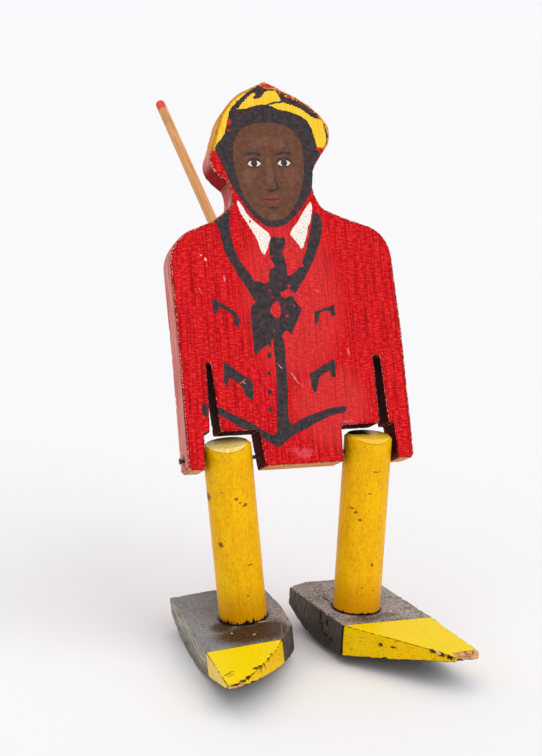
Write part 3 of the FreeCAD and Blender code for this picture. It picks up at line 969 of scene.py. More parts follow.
def random_size(tree, given, smallest, largest):
    """A size for each copy, drawn from the tree's seed."""
    size = tree.nodes.new("FunctionNodeRandomValue")
    size.data_type = "FLOAT_VECTOR"
    size.inputs[0].default_value = smallest
    size.inputs[1].default_value = largest
    tree.links.new(given.outputs["Seed"], size.inputs["Seed"])
    return size.outputs[0]


def stand_copies(tree, given, shape, material, size=None):
    """End a tree: a copy of the shape at every place, turned along its direction and dressed."""
    new = tree.nodes.new
    link = tree.links.new
    direction = new("GeometryNodeInputNamedAttribute")
    direction.data_type = "FLOAT_VECTOR"
    direction.inputs[0].default_value = "direction"
    turn = new("FunctionNodeAlignRotationToVector")
    turn.axis = "Z"
    link(direction.outputs[0], turn.inputs["Vector"])
    instances = new("GeometryNodeInstanceOnPoints")
    link(given.outputs["Places"], instances.inputs["Points"])
    link(shape, instances.inputs["Instance"])
    link(turn.outputs[0], instances.inputs["Rotation"])
    if size is not None:
        link(size, instances.inputs["Scale"])
    realize = new("GeometryNodeRealizeInstances")
    link(instances.outputs[0], realize.inputs[0])
    dressed = new("GeometryNodeSetMaterial")
    link(realize.outputs[0], dressed.inputs["Geometry"])
    link(given.outputs[material], dressed.inputs["Material"])
    result = new("NodeGroupOutput")
    link(dressed.outputs[0], result.inputs[0])
    print(f"tree {tree.name}: {len(tree.nodes)} nodes")
    return tree


# %% The nail tree
HEAD_SIDES = 28
SHANK_SIDES = 20
POINT_RADIUS = 0.15


def make_nail_tree():
    tree, given = new_tree("wire_nail", [
        ("Places", "Geometry", None), ("Length", "Float", 0.05), ("Diameter", "Float", 0.002),
        ("Head Diameter", "Float", 0.003), ("Head Thickness", "Float", 0.0008),
        ("Point Length", "Float", 0.003), ("Steel", "Material", None),
    ])
    new = tree.nodes.new
    link = tree.links.new

    def half(socket):
        node = new("ShaderNodeMath")
        node.operation = "MULTIPLY"
        node.inputs[1].default_value = 0.5
        link(socket, node.inputs[0])
        return node.outputs[0]

    def minus(first, second):
        node = new("ShaderNodeMath")
        node.operation = "SUBTRACT"
        link(first, node.inputs[0])
        link(second, node.inputs[1])
        return node.outputs[0]

    def rod(depth, bottom, top, sides):
        node = new("GeometryNodeMeshCone")
        node.inputs["Vertices"].default_value = sides
        link(depth, node.inputs["Depth"])
        link(bottom, node.inputs["Radius Bottom"])
        if top is None:
            node.inputs["Radius Top"].default_value = POINT_RADIUS * MM
        else:
            link(top, node.inputs["Radius Top"])
        return node.outputs["Mesh"]

    def raised(mesh, height):
        move = new("GeometryNodeTransform")
        up = new("ShaderNodeCombineXYZ")
        link(height, up.inputs[2])
        link(mesh, move.inputs["Geometry"])
        link(up.outputs[0], move.inputs["Translation"])
        return move.outputs[0]

    shank = half(given.outputs["Diameter"])
    head = half(given.outputs["Head Diameter"])
    straight = minus(given.outputs["Length"], given.outputs["Point Length"])
    under_head = minus(straight, given.outputs["Head Thickness"])
    joined = new("GeometryNodeJoinGeometry")
    link(rod(given.outputs["Head Thickness"], head, head, HEAD_SIDES), joined.inputs[0])
    body = rod(under_head, shank, shank, SHANK_SIDES)
    link(raised(body, given.outputs["Head Thickness"]), joined.inputs[0])
    point = rod(given.outputs["Point Length"], shank, None, SHANK_SIDES)
    link(raised(point, straight), joined.inputs[0])
    return stand_copies(tree, given, joined.outputs[0], "Steel")


def grow(tree, name, places, directions, values):
    """Run a tree on a set of places, and keep the result as a plain mesh."""
    mesh = bpy.data.meshes.new(name + "_places")
    mesh.from_pydata([tuple(place) for place in places], [], [])
    attribute = mesh.attributes.new("direction", "FLOAT_VECTOR", "POINT")
    for item, direction in zip(attribute.data, directions):
        item.vector = direction
    holder = new_object(name, mesh)
    modifier = holder.modifiers.new("tree", "NODES")
    modifier.node_group = tree
    for item in tree.interface.items_tree:
        if item.item_type == "SOCKET" and item.in_out == "INPUT" and item.name in values:
            modifier[item.identifier] = values[item.name]
    bpy.context.view_layer.update()
    evaluated = holder.evaluated_get(bpy.context.evaluated_depsgraph_get())
    plain = bpy.data.meshes.new_from_object(evaluated)
    holder.modifiers.clear()
    holder.data = plain
    plain.name = name
    plain.shade_smooth()
    plain.set_sharp_from_angle(angle=math.radians(40))
    print(f"{name}: {len(plain.polygons)} faces from {len(places)} places")
    return holder


nail_tree = make_nail_tree()

# %% Four nails on three bodies
nail_sizes = {
    "Length": 50 * MM,
    "Diameter": 2.0 * MM,
    "Head Diameter": 3.1 * MM,
    "Head Thickness": 0.8 * MM,
    "Point Length": 3 * MM,
    "Steel": nail_steel,
}
# how far out each sleeve's wall is, how far each head stands out of it, and where the sole nails start
WALL_X = {"left": 60.9, "right": 61.0}
PROUD = {"left": 2.4, "right": 0.8}
SOLE_HEAD = Vector((0, 0, -18.5))
places = []
directions = []
for name, side in SIDES.items():
    head_x = side["sign"] * (WALL_X[name] + PROUD[name])
    places.append(BOARD @ Vector((head_x, HIP_ON_BOARD.y, HIP_ON_BOARD.z)))
    directions.append(Vector((-side["sign"], 0, 0)))
hip_nails = grow(nail_tree, "hip_nails", places, directions, nail_sizes)
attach(hip_nails, "figure")
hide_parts("left_hip_nail", "right_hip_nail")

sole_sizes = dict(nail_sizes)
sole_sizes["Length"] = 42 * MM
sole_sizes["Diameter"] = 2.4 * MM
sole_sizes["Head Diameter"] = 5 * MM
sole_sizes["Head Thickness"] = 1 * MM
for name, shoe in SHOES.items():
    up = (shoe.to_3x3() @ Vector((0, 0, 1))).normalized()
    sole_nail = grow(nail_tree, f"{name}_sole_nail_steel", [shoe @ SOLE_HEAD], [up], sole_sizes)
    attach(sole_nail, f"{name}_limb")
    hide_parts(f"{name}_sole_nail")

# %% [markdown]
# ## Printing on the board
#
# Printed ink is a film well under a tenth of a millimetre thick. A texture could paint it, but
# its edges would blur close up. Here each printed shape is a closed outline in millimetres on the
# board, its corners softened and its edge made ragged by noise, as ink on grain is. The outline is
# filled with triangles and given a film's thickness, so it stays crisp at any size.

# %% The printer
# all in millimetres: how thick the ink lies, and how finely an outline is divided
FILM = 0.05
RAGGED_STEP = 0.5


def softened(outline, passes, share=0.16):
    """Cut the corners of a closed outline, which rounds them."""
    for _ in range(passes):
        rounder = []
        for here, there in zip(outline, outline[1:] + outline[:1]):
            rounder.append(here.lerp(there, share))
            rounder.append(here.lerp(there, 1 - share))
        outline = rounder
    return outline


def ragged(outline, amount, seed):
    """Divide an outline into short steps and shake them, as ink creeps along the grain."""
    shaken = []
    for here, there in zip(outline, outline[1:] + outline[:1]):
        steps = max(1, math.ceil((there - here).length / RAGGED_STEP))
        for step in range(steps):
            at = here.lerp(there, step / steps)
            seat = Vector((at.x * 1.3, at.y * 0.8, seed))
            push = Vector((noise.noise(seat), noise.noise(seat + Vector((7, 7, 7))) * 1.4))
            fine = Vector((noise.noise(seat * 3.1), noise.noise(seat * 3.1 + Vector((9, 9, 9)))))
            shaken.append(at + push * amount + fine * amount * 0.6)
    return shaken


def printed(name, outlines, height, material, corners=1, rough=0.3, holes=(), seed=1.0):
    """Print closed outlines, given in millimetres on the board, as one film of that height."""
    points = []
    loops = []
    for number, outline in enumerate([*outlines, *holes]):
        ring = softened([Vector(point) for point in outline], corners)
        ring = ragged(ring, rough, seed + number)
        doubled_area = sum(a.x * b.y - b.x * a.y for a, b in zip(ring, ring[1:] + ring[:1]))
        if doubled_area < 0:
            ring.reverse()
        loops.append(list(range(len(points), len(points) + len(ring))))
        points += ring
    spots, _, faces, _, _, sources = geometry.delaunay_2d_cdt(points, [], loops, 1, 1e-4)
    inked = [
        face for face, source in zip(faces, sources)
        if source and max(source) < len(outlines)
    ]
    surface = bmesh.new()
    low = [surface.verts.new(BOARD @ Vector((spot.x, FILM, spot.y))) for spot in spots]
    top = [surface.verts.new(BOARD @ Vector((spot.x, -height, spot.y))) for spot in spots]
    rim = set()
    for face in inked:
        surface.faces.new([top[i] for i in face])
        surface.faces.new([low[i] for i in reversed(face)])
        for here, there in zip(face, face[1:] + face[:1]):
            if (there, here) in rim:
                rim.remove((there, here))
            else:
                rim.add((here, there))
    for here, there in sorted(rim):
        surface.faces.new([top[there], top[here], low[here], low[there]])
    bmesh.ops.delete(surface, geom=[v for v in surface.verts if not v.link_faces], context="VERTS")
    bmesh.ops.recalc_face_normals(surface, faces=surface.faces)
    return as_piece(surface, name, "figure", material, sharp=30.0)


# %% [markdown]
# ## The coat's lines
#
# Broad black shapes make the lapels, the tie, the front edge and the hem line, drawn with a loose
# brush-like hand. They overlap, and the printer joins them into one film, with a hole where the knot
# lets the red through. Four pocket flaps and a spot on the sleeve lie apart from them.

# %% Lapels, tie, front edge and hem line
LAPELS = [
    [
        (-36.2, 130.2), (-35, 128.5), (-33.5, 124.5), (-33, 120), (-32, 114.5), (-30, 109.5),
        (-27.5, 105), (-25.5, 100), (-23, 96.5), (-20.5, 92), (-18.5, 87.5), (-16, 85), (-13, 92),
        (-15, 98), (-17, 97), (-18.5, 100), (-21, 104), (-23.5, 107.5), (-25.5, 112), (-27, 117.5),
        (-28, 123), (-28, 128.5), (-27.5, 133.5), (-26.8, 136.8),
    ],
    [
        (-4, 91), (0.5, 93), (2.5, 92), (4, 90.5), (5.5, 92), (8, 95.5), (10.5, 99), (14.5, 105.5),
        (17, 110), (20.5, 118), (22, 122.5), (22.5, 127), (22.5, 131), (20.5, 133.4), (18.2, 135),
        (17, 128.5), (15.5, 123.5), (12.5, 113.5), (10.5, 109.5), (9.5, 107), (10.5, 104.5),
        (8, 104.5), (6, 102.5), (3.5, 100.5), (2, 100), (-1, 100),
    ],
]
TIE = [
    [
        (-10, 95), (-9, 100.5), (-8.5, 104), (-6, 104.5), (-5.5, 106), (-6.5, 107.5), (-8, 110),
        (-7, 119.5), (-5.5, 121.5), (-2.5, 120.5), (0.5, 121), (1.5, 120), (1.5, 117), (-1, 113),
        (0.5, 108.5), (1, 101), (1, 97), (-2.5, 92.5), (-6, 91),
    ],
    [
        (-18, 86), (-20, 84.5), (-21, 81.5), (-21, 71.5), (-21, 61), (-20.5, 57.5), (-19, 59.5),
        (-16, 62), (-13.5, 63.5), (-12, 62), (-11, 63.5), (-11.5, 65.5), (-10, 67), (-7, 66),
        (-5, 67.5), (-4.5, 69), (-2.5, 71), (-1, 70), (0, 68), (2, 72), (5, 78), (7, 81.5),
        (6.5, 82.5), (4.5, 85), (3, 88.5), (1.5, 89.5), (-1, 88), (-3.5, 88.5), (-4, 93), (-10, 97),
        (-12, 96), (-15, 98), (-17, 92),
    ],
]
FRONT_EDGE = [
    (-10, 68), (-10, 58), (-10, 50), (-10.5, 42), (-11, 34), (-12, 26.5), (-12.5, 18), (-8, 17),
    (-4, 20), (-5.5, 23.5), (-5.5, 31.5), (-4.5, 39), (-4.5, 52.5), (-4, 60.5), (-5, 68.5),
]
HEM_LINES = [
    [
        (-13.5, 15.6), (-15.5, 16.5), (-21.5, 20), (-25, 22.5), (-30, 25.5), (-35.5, 28), (-40.5, 31.5),
        (-42.5, 32), (-43, 28.5), (-41, 27), (-36, 24), (-32, 20.5), (-29.5, 19.7), (-22.4, 19.7),
        (-21.3, 16), (-19, 13.5), (-13, 9.5),
    ],
    [
        (-14, 17), (-14.5, 11), (-13, 9.5), (-11, 10), (-6, 14), (-1.5, 16.5), (3, 18), (5.5, 19.4),
        (11, 22), (18.5, 25), (24, 25.5), (26.5, 27), (26, 29), (22.5, 29), (17, 28.5), (12.5, 27),
        (3, 24.5), (-4, 21), (-8, 19),
    ],
]
KNOT_HOLE = [
    (-6.5, 87), (-5, 86), (-4.5, 83), (-4.5, 79.5), (-7, 77), (-9.5, 79.5), (-10.5, 81.5), (-9, 84.5),
]
POCKETS = [
    [
        (-41, 89.5), (-39, 88.5), (-36, 86.5), (-32, 84), (-28.5, 81), (-27, 78.5), (-27.5, 73.5),
        (-29.5, 74), (-30.5, 76.5), (-30, 79.5), (-33, 82), (-36, 84), (-37.5, 85), (-38.5, 81.5),
        (-40, 81), (-41, 82),
    ],
    [
        (13.5, 80), (16, 80.5), (19.5, 82), (23, 83), (25, 84), (25, 81), (25, 78), (23.5, 77),
        (22.5, 77.5), (22.5, 80), (19.5, 80.5), (16.5, 79.5), (16, 76.5), (15, 74), (14, 73), (13.5, 74.5),
    ],
    [
        (-37.5, 56), (-35, 54), (-31.5, 51), (-27.5, 48), (-23.5, 45.5), (-23, 42.5), (-23.5, 34.5),
        (-25.5, 35.5), (-28, 37.5), (-28.5, 41.5), (-31, 44), (-34.5, 47), (-35.5, 47), (-36.5, 42),
        (-37.5, 43), (-38.5, 45), (-38, 50.5),
    ],
    [
        (8, 47.5), (11.5, 49), (15, 51), (19, 53), (22, 54.5), (22.5, 51), (22, 45), (20, 44.5),
        (19, 48.5), (16, 47), (13, 45), (12, 41.5), (11, 37.5), (9, 37.5), (8.5, 41.5), (8, 44.5),
    ],
]
SLEEVE_SPOT = [(-51, 34), (-48.8, 35), (-48.3, 33), (-48, 30), (-48.3, 26.8), (-50, 27.5), (-51.5, 30)]
coat = LAPELS + TIE + [FRONT_EDGE] + HEM_LINES
printed("coat_lines", coat, FILM + 0.02, ink, holes=[KNOT_HOLE], seed=2.0)
printed("pocket_flaps", POCKETS + [SLEEVE_SPOT], FILM + 0.02, ink, seed=5.0)

# %% [markdown]
# ## The collar
#
# Two white points show beside the tie. They are printed under the black, so they are thinner than it.

# %% Collar points
COLLAR = [
    [
        (-22.5, 141.5), (-21.5, 140.5), (-20, 138), (-18.5, 134.5), (-16.5, 132), (-13.5, 129),
        (-10.5, 126), (-7.5, 123.5), (-6.5, 121.5), (-7, 119.5), (-8.5, 115.5), (-10.5, 111.5),
        (-12, 113), (-14, 120.5), (-17.5, 127.5), (-19.5, 131), (-21.5, 134.5), (-23, 140),
    ],
    [
        (17.5, 140), (18, 136.5), (17, 132), (16, 128), (14.5, 126.5), (14, 123), (12.5, 119),
        (11, 115), (9.5, 114.5), (8.5, 117), (6.5, 119.5), (4.5, 122), (5, 124), (7.5, 127),
        (10, 130), (12.5, 134), (15, 137.5),
    ],
]
printed("collar_points", COLLAR, FILM, collar_white, seed=8.0)

# %% [markdown]
# ## Coat buttons
#
# A row of round spots runs down beside the front edge. They repeat, so a small tree makes them: one
# flat drop of ink stands at each place, with its own size from a fixed seed.

# %% The button tree
DROP_SIDES = 26


def make_drop_tree():
    tree, given = new_tree("ink_drops", [
        ("Places", "Geometry", None), ("Radius", "Float", 0.001), ("Thickness", "Float", 0.0001),
        ("Seed", "Int", 4), ("Ink", "Material", None),
    ])
    disc = tree.nodes.new("GeometryNodeMeshCylinder")
    disc.inputs["Vertices"].default_value = DROP_SIDES
    tree.links.new(given.outputs["Radius"], disc.inputs["Radius"])
    tree.links.new(given.outputs["Thickness"], disc.inputs["Depth"])
    size = random_size(tree, given, (0.75, 0.95, 1.0), (1.15, 1.35, 1.0))
    return stand_copies(tree, given, disc.outputs["Mesh"], "Ink", size)


BUTTONS = [(-13, 58), (-14, 48.5), (-14.5, 38.5), (-15, 29.5)]
board_front = (BOARD.to_3x3() @ Vector((0, -1, 0))).normalized()
places = [BOARD @ Vector((x, 0, z)) for x, z in BUTTONS]
drops = {"Radius": 1.15 * MM, "Thickness": 2 * (FILM + 0.02) * MM, "Seed": 4, "Ink": ink}
buttons = grow(make_drop_tree(), "coat_buttons", places, [board_front] * len(places), drops)
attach(buttons, "figure")

# %% [markdown]
# ## The cap
#
# The cap's yellow is part of the board's paint. Loose black strokes over it draw the crown's seams,
# the band above the forehead and the cap's right edge. Small spots then show the red or a worn orange
# where the print has come away.

# %% Strokes on the cap
CAP_STROKES = [
    [
        (-22.5, 191.2), (-19.9, 193.8), (-18.5, 195.4), (-16, 197.3), (-13.3, 199.7), (-10.1, 201.8),
        (-6.9, 203.6), (-5.5, 204.6), (-3.8, 203.6), (-0.8, 202.5), (2.8, 202.5), (3.6, 201.4),
        (0.3, 201.7), (-2.2, 201.1), (-3.3, 199.6), (-5, 197.8), (-8.1, 196.8), (-9.1, 197.8),
        (-7.5, 199.6), (-7.9, 200.6), (-9.9, 200), (-12.3, 197.8), (-14.9, 195.4), (-17.6, 192.1),
        (-19.5, 191),
    ],
    [
        (1.9, 202.7), (5.2, 201.6), (7.5, 200.2), (11.1, 198.7), (14.6, 196.9), (18.1, 194.4), (21.6, 192),
        (25, 189.2), (27.6, 186.8), (27.4, 185.3), (24.6, 185.8), (21.7, 187.4), (19.4, 189.5),
        (16.6, 191.6), (11.8, 193.5), (7, 194.9), (2.1, 194.2), (-3, 193.2), (-0.3, 194.7), (2.8, 195.4),
        (6.2, 195.7), (6, 197.1), (5, 199.5), (3.6, 201.4),
    ],
    [
        (28.2, 183.4), (29.3, 182.2), (30.2, 179.9), (30.6, 176.8), (30, 173.1), (28.9, 170.7),
        (29.4, 173.4), (29.6, 176.8), (29.1, 179.6),
    ],
]
printed("cap_strokes", CAP_STROKES, FILM + 0.02, ink, rough=0.4, seed=11.0)

# %% Spots where print is missing
RED_PLACES = [
    (-1.5, 204.2, 3.0, 1.2), (1.6, 203.4, 1.8, 0.7), (-23.5, 184.5, 1.0, 2.2), (-24.2, 179.6, 1.4, 0.7),
    (25.2, 168.9, 1.6, 1.2), (-16.6, 129.8, 0.7, 0.6), (-13.4, 130.6, 0.9, 0.7), (-8.6, 104.8, 1.0, 0.9),
    (-6.6, 110.6, 0.6, 0.5), (-9.5, 92.6, 0.7, 0.6), (-8.4, 88.8, 0.6, 0.6), (-2.6, 83.8, 0.8, 0.5),
    (0.8, 94.6, 0.8, 0.7), (-1.2, 78.4, 0.8, 0.6), (3.2, 83.8, 0.7, 0.5), (-15.4, 73.5, 0.5, 0.6),
    (-8.8, 71.0, 0.4, 0.7),
]
CAP_EDGE = [(3.4, 202.7), (7.6, 200.6), (14.7, 197.0), (21.7, 192.2), (27.6, 187.2), (30.2, 181.0)]


BLOB_SIDES = 12


def blob(x, z, width, height):
    """A little round, which the printer makes rough."""
    turns = [number * math.tau / BLOB_SIDES for number in range(BLOB_SIDES)]
    return [(x + width * math.cos(turn), z + height * math.sin(turn)) for turn in turns]


spots = [blob(*place) for place in RED_PLACES]
flakes = []
chance = random.Random(5)
for here, there in zip(CAP_EDGE, CAP_EDGE[1:]):
    for share in (0.1, 0.3, 0.5, 0.7, 0.9):
        x = here[0] + (there[0] - here[0]) * share + chance.uniform(-0.9, 0.1)
        z = here[1] + (there[1] - here[1]) * share + chance.uniform(-1.3, -0.1)
        flake = blob(x, z, chance.uniform(0.4, 0.9), chance.uniform(0.3, 0.7))
        chance.choice((spots, flakes, flakes)).append(flake)
printed("missing_print", spots, FILM + 0.035, print_red, rough=0.7, seed=12.0)
printed("cap_flakes", flakes, FILM + 0.03, flake_orange, rough=0.5, seed=13.0)

# %% [markdown]
# ## Scratches
#
# A few scratches cross the coat. Each is a thin stroke along a crooked line, wider in its middle, and
# it is pink where it only dulled the red, so it is laid on like the print.

# %% Pale scratches
SCRATCHES = [
    [(-3, 49.5), (-1, 46.5), (1, 43), (4.5, 40.5)], [(-30.6, 43.6), (-28.4, 44.6), (-26.4, 46.8)],
    [(-28.2, 44.6), (-27.2, 43.4)], [(-9.6, 54), (-7.6, 51.4), (-5.6, 50.4)], [(14.5, 92), (18, 90.6)],
    [(-47.5, 96), (-46.2, 91.5)], [(30, 60.5), (30.8, 55)], [(-33.5, 102), (-33.2, 97)],
]


def stroke(line, width):
    """A closed outline round a line, pointed at both ends."""
    line = [Vector(point) for point in line]
    sides = []
    for before, here, after in zip(line, line[1:-1] or [line[0].lerp(line[-1], 0.5)], line[2:] or [line[-1]]):
        along = (after - before).normalized()
        sides.append((here, Vector((-along.y, along.x)) * width / 2))
    there = [at + push for at, push in sides]
    back = [at - push for at, push in reversed(sides)]
    return [line[0], *there, line[-1], *back]


strokes = [stroke(line, 0.7) for line in SCRATCHES]
printed("pale_scratches", strokes, FILM + 0.03, scratch_pink, rough=0.25, seed=31.0)

# %% [markdown]
# ## The head
#
# The head is printed as dark hair and shade round a calm, plain face. The face is this lesson's own:
# its height is split in thirds from hairline to brow, brow to nose, and nose to chin, the eyes are one
# eye's width apart, and the mouth is closed. Flat shapes are laid one over another, from the back:
# hair, face, light on cheek and brow, then the features.

# %% Hair and shade
HEAD = [
    (-32.6, 169.6), (-31, 172.5), (-29, 174.5), (-27, 177), (-25.5, 180.5), (-24.6, 184), (-23.5, 188),
    (-22.5, 191), (-18, 191.5), (-13, 191.7), (-10, 193), (-4.5, 194), (0, 193.4), (4, 191),
    (10, 190), (16, 187.5), (20, 184.5), (22, 180), (23, 175), (24, 170), (25.4, 166.5), (23.8, 163.5),
    (21.6, 160.5), (20.2, 156), (19.4, 150.5), (18, 145), (15, 140.5), (11.5, 136), (8, 132),
    (3, 128), (-3, 126), (-9, 127.5), (-13.5, 131), (-17.5, 136), (-20.5, 141.5), (-23.5, 147),
    (-26, 152), (-28, 158), (-30.2, 164),
]
printed("hair_and_shade", [HEAD], FILM, ink, corners=2, seed=14.0)

# %% The face
FACE_X = -3.5
HAIRLINE = 184.0
CHIN = 129.8
THIRD = (HAIRLINE - CHIN) / 3
BROW_HEIGHT = HAIRLINE - THIRD
NOSE_HEIGHT = BROW_HEIGHT - THIRD
MOUTH_HEIGHT = NOSE_HEIGHT - THIRD / 3
EYE_HEIGHT = BROW_HEIGHT - 4.8
EYE_OFFSET = 8.2


def mirrored(points):
    """The same outline on the other side of the face."""
    return [(-x, z) for x, z in reversed(points)]


def on_face(points, height):
    """Shift an outline from the middle of the face to its place on the board."""
    return [(FACE_X + x, height + z) for x, z in points]


HALF_FACE = [
    (0, HAIRLINE), (8, 183), (14.5, 180), (18.4, 174), (19.4, 166), (19, 158), (17.4, 149.5), (14.6, 142),
    (10.6, 135.4), (5.6, 130.9), (0, CHIN),
]
face_outline = HALF_FACE + mirrored(HALF_FACE)[1:-1]
printed("face", [on_face(face_outline, 0)], FILM + 0.02, skin_brown, corners=2, rough=0.14, seed=17.0)
BROW_LIGHT = [(-8, 3.6), (0, 5.2), (8, 3.6), (11, 6.2), (7, 9.6), (0, 10.6), (-7, 9.6), (-11, 6.2)]
BRIDGE_LIGHT = [(-1.4, -1), (1.4, -1), (1.5, -9), (2.2, -15.5), (0, -17.2), (-2.2, -15.5), (-1.5, -9)]
CHEEK_LIGHT = [(7.2, -8.6), (12.6, -7.4), (15.8, -8.6), (15.6, -13), (13, -17.6), (10.4, -17.2), (8.6, -12.6)]
CHIN_LIGHT = [(-3.8, -33.2), (0, -32.5), (3.8, -33.2), (3, -35), (0, -35.8), (-3, -35)]
lights = [BROW_LIGHT, BRIDGE_LIGHT, CHEEK_LIGHT, mirrored(CHEEK_LIGHT), CHIN_LIGHT]
lights = [on_face(light, BROW_HEIGHT) for light in lights]
printed("face_lights", lights, FILM + 0.04, skin_light, corners=2, rough=0.2, seed=19.0)

# %% Eyes, brows, nose and mouth
WHITE = [(-3.7, 0), (-2.4, 1.4), (0, 2.0), (2.4, 1.45), (3.8, 0.1), (2.2, -1.1), (0, -1.5), (-2.2, -1.1)]
PUPIL = [(-1.4, 1.75), (0, 2.1), (1.4, 1.75), (1.8, 0.2), (1.2, -1.2), (0, -1.55), (-1.2, -1.2), (-1.8, 0.2)]
LID = [
    (-4.4, -0.3), (-2.8, 1.6), (0, 2.6), (2.8, 1.8), (4.7, -0.3), (4.6, 0.9), (2.7, 2.9), (0, 3.6),
    (-2.8, 2.7), (-4.5, 0.6),
]
BROW = [(-5, -0.9), (-3.6, 0.9), (0, 2.0), (3.8, 1.3), (5.8, -0.8), (3.6, 0.1), (0, 0.6), (-3.2, -0.3)]
LASH = [(-3, -1.6), (0, -2.3), (3, -1.6), (3.2, -1.2), (0, -1.8), (-3.1, -1.2)]
whites = []
lines = []
for sign in (-1, 1):
    centre = FACE_X + sign * EYE_OFFSET
    for shape, height in ((PUPIL, EYE_HEIGHT), (LID, EYE_HEIGHT), (LASH, EYE_HEIGHT), (BROW, BROW_HEIGHT)):
        half = shape if sign > 0 else mirrored(shape)
        lines.append([(centre + x, height + z) for x, z in half])
    whites.append([(centre + x, EYE_HEIGHT + z) for x, z in WHITE])
NOSE = [(2.4, 8.2), (3.0, 4), (4.4, 1.4), (4.1, -0.4), (2.5, -1), (3.3, 0.6), (2.2, 3.8)]
NOSTRILS = [
    (-3.8, 0.1), (-2.8, -0.8), (-1.3, -0.5), (0, -1.2), (1.3, -0.5), (2.8, -0.8), (3.8, 0.1), (2.6, -1.7),
    (0, -2.1), (-2.6, -1.7),
]
UPPER_LIP = [
    (-6.6, 0.1), (-3.4, 1.6), (-1.2, 2.3), (0, 1.8), (1.2, 2.3), (3.4, 1.6), (6.6, 0.1), (3.2, 0.3),
    (0, 0), (-3.2, 0.3),
]
LOWER_LIP = [
    (-6.1, -0.2), (-3.2, -0.2), (0, -0.5), (3.2, -0.2), (6.1, -0.2), (3.8, -2.1), (0, -3.1), (-3.8, -2.1),
]
MOUTH_LINE = [
    (-7.2, 0.3), (-3.2, 0.1), (0, -0.3), (3.2, 0.1), (7.2, 0.3), (3.2, -0.5), (0, -0.9), (-3.2, -0.5),
]
CHIN_SHADE = [(-3.2, -4.7), (0, -4.3), (3.2, -4.7), (2.2, -5.4), (0, -5.6), (-2.2, -5.4)]
printed("eye_whites", whites, FILM + 0.06, eye_white, corners=2, rough=0.06, seed=21.0)
lips = [on_face(UPPER_LIP, MOUTH_HEIGHT), on_face(LOWER_LIP, MOUTH_HEIGHT)]
printed("lips", lips, FILM + 0.05, lip_brown, corners=2, rough=0.08, seed=22.0)
lines += [on_face(NOSE, NOSE_HEIGHT), on_face(NOSTRILS, NOSE_HEIGHT)]
lines += [on_face(MOUTH_LINE, MOUTH_HEIGHT), on_face(CHIN_SHADE, MOUTH_HEIGHT)]
printed("face_lines", lines, FILM + 0.08, ink, corners=2, rough=0.07, seed=23.0)

# %% [markdown]
# ## Splinters on the broken toe
#
# The right toe split off along the grain, and the break is a row of fibres of different lengths. Each
# fibre is the same thin spike, so a tree sets one at each of many places along the break, with its
# own length and lean from a fixed seed. The spikes sink into the toe, and only their ends stand out.

# %% The splinter tree
SPLINTER_SIDES = 5
SPLINTER_TIP = 0.08
SPLINTERS_A_SPAN = 9


def make_splinter_tree():
    tree, given = new_tree("splinters", [
        ("Places", "Geometry", None), ("Length", "Float", 0.004), ("Thickness", "Float", 0.0006),
        ("Seed", "Int", 7), ("Wood", "Material", None),
    ])
    spike = tree.nodes.new("GeometryNodeMeshCone")
    spike.inputs["Vertices"].default_value = SPLINTER_SIDES
    spike.inputs["Radius Top"].default_value = SPLINTER_TIP * MM
    tree.links.new(given.outputs["Thickness"], spike.inputs["Radius Bottom"])
    tree.links.new(given.outputs["Length"], spike.inputs["Depth"])
    size = random_size(tree, given, (0.6, 0.4, 0.5), (1.6, 1.0, 1.0))
    return stand_copies(tree, given, spike.outputs["Mesh"], "Wood", size)


# The break, outwards across the shoe and along it, a little inside the CAD outline
BREAK = [(23.0, -75.6), (17.8, -77.4), (16.4, -74.6), (12.4, -78.6), (10.6, -77.0), (6.5, -80.2)]
chance = random.Random(12)
places = []
directions = []
for here, there in zip(BREAK, BREAK[1:]):
    for _ in range(SPLINTERS_A_SPAN):
        share = chance.random()
        x = here[0] + (there[0] - here[0]) * share + SIDES["right"]["offset"]
        y = here[1] + (there[1] - here[1]) * share
        at = Vector((x, y + chance.uniform(-0.1, 0.5), chance.uniform(-1.7, -0.6)))
        places.append(SHOES["right"] @ at)
        ahead = Vector((chance.uniform(-0.12, 0.12), -1, chance.uniform(-0.04, 0.1)))
        directions.append((SHOES["right"].to_3x3() @ ahead).normalized())
fibres = {"Length": 4.2 * MM, "Thickness": 0.45 * MM, "Seed": 7, "Wood": shoe_paint["right"]}
splinters = grow(make_splinter_tree(), "toe_splinters", places, directions, fibres)
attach(splinters, "right_limb")

# %% [markdown]
# ## Floor, light and camera
#
# The photo was taken on white paper under broad, soft light, a little stronger from the right. A
# large plain floor and a bright surround give that look, and the floor keeps the shadow under the
# shoes. The camera's place was fitted to the toy's edges, with the lens and the board's thickness
# assumed, so it stands about where the photographer stood.

# %% Floor and surround
lowest = min(min(v.co.z for v in shoe.data.vertices) for shoe in shoes.values())
FLOOR_SIZE = 60.0
floor_mesh = bpy.data.meshes.new("paper_floor")
corners = [(x * FLOOR_SIZE, y * FLOOR_SIZE, lowest) for x, y in ((-1, -1), (1, -1), (1, 1), (-1, 1))]
floor_mesh.from_pydata(corners, [], [(0, 1, 2, 3)])
floor = new_object("paper_floor", floor_mesh)
paper = bpy.data.materials.new("white_paper")
paper.use_nodes = True
shader = paper.node_tree.nodes["Principled BSDF"]
shader.inputs["Base Color"].default_value = paint(250, 250, 250)
shader.inputs["Roughness"].default_value = 0.9
shader.inputs["Specular IOR Level"].default_value = 0.1
floor.data.materials.append(paper)

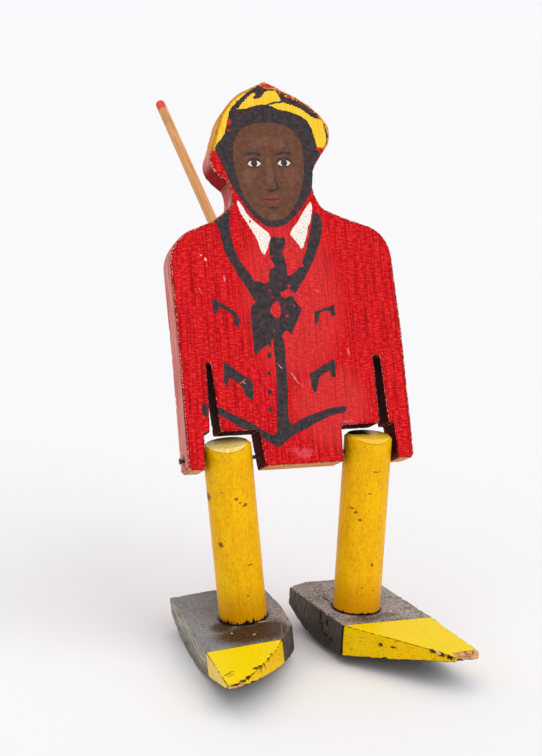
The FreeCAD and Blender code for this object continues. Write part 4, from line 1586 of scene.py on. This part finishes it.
# the surround's strength as a light, and as it is seen
LIGHT_STRENGTH = 0.57
SEEN_STRENGTH = 0.98
world = bpy.data.worlds.new("surround")
bpy.context.scene.world = world
world.use_nodes = True
nodes = world.node_tree.nodes
links = world.node_tree.links
background = nodes["Background"]
background.inputs["Color"].default_value = paint(252, 251, 255)
seen = nodes.new("ShaderNodeLightPath")
visible = seen.outputs["Is Camera Ray"]
for ray in ("Is Glossy Ray", "Is Transmission Ray"):
    either = nodes.new("ShaderNodeMath")
    either.operation = "MAXIMUM"
    links.new(visible, either.inputs[0])
    links.new(seen.outputs[ray], either.inputs[1])
    visible = either.outputs[0]
bright = nodes.new("ShaderNodeMapRange")
bright.inputs["To Min"].default_value = LIGHT_STRENGTH
bright.inputs["To Max"].default_value = SEEN_STRENGTH
links.new(visible, bright.inputs["Value"])
links.new(bright.outputs["Result"], background.inputs["Strength"])


def soft_sun(name, strength, angle, direction):
    """A broad, even light from one direction."""
    data = bpy.data.lights.new(name, "SUN")
    data.energy = strength
    data.angle = math.radians(angle)
    lamp = new_object(name, data)
    lamp.rotation_euler = Vector(direction).to_track_quat("-Z", "Y").to_euler()


soft_sun("key_light", 0.9, 50, (-0.6, 0.75, -0.9))
soft_sun("fill_light", 0.55, 90, (0.35, 0.9, -0.6))
soft_sun("top_light", 0.5, 60, (0.05, -0.35, -1))

# %% Camera
FOCAL_PIXELS = 1800.0
WIDTH_PIXELS = 542.0
PRINCIPAL_X = 255.5
SENSOR_WIDTH = 36.0
CAMERA_PLACE = Vector((-0.2572, -0.9037, 0.2009))
camera_data = bpy.data.cameras.new("camera")
camera_data.sensor_fit = "HORIZONTAL"
camera_data.sensor_width = SENSOR_WIDTH
camera_data.lens = FOCAL_PIXELS / WIDTH_PIXELS * SENSOR_WIDTH
camera_data.clip_start = 0.01
camera = new_object("camera", camera_data)
bpy.context.scene.camera = camera
right = Vector((0.96647, -0.25671, 0.00608))
up = Vector((0.04751, 0.20204, 0.97822))
ahead = Vector((0.25234, 0.94514, -0.20746))
off_centre = math.atan((WIDTH_PIXELS / 2 - PRINCIPAL_X) / FOCAL_PIXELS)
aim = (ahead * math.cos(off_centre) + right * math.sin(off_centre)).normalized()
across = aim.cross(up).normalized()
above = across.cross(aim).normalized()
turn = Matrix((across, above, -aim)).transposed()
camera.matrix_world = Matrix.Translation(CAMERA_PLACE) @ turn.to_4x4()
bpy.context.scene.view_settings.view_transform = "Standard"
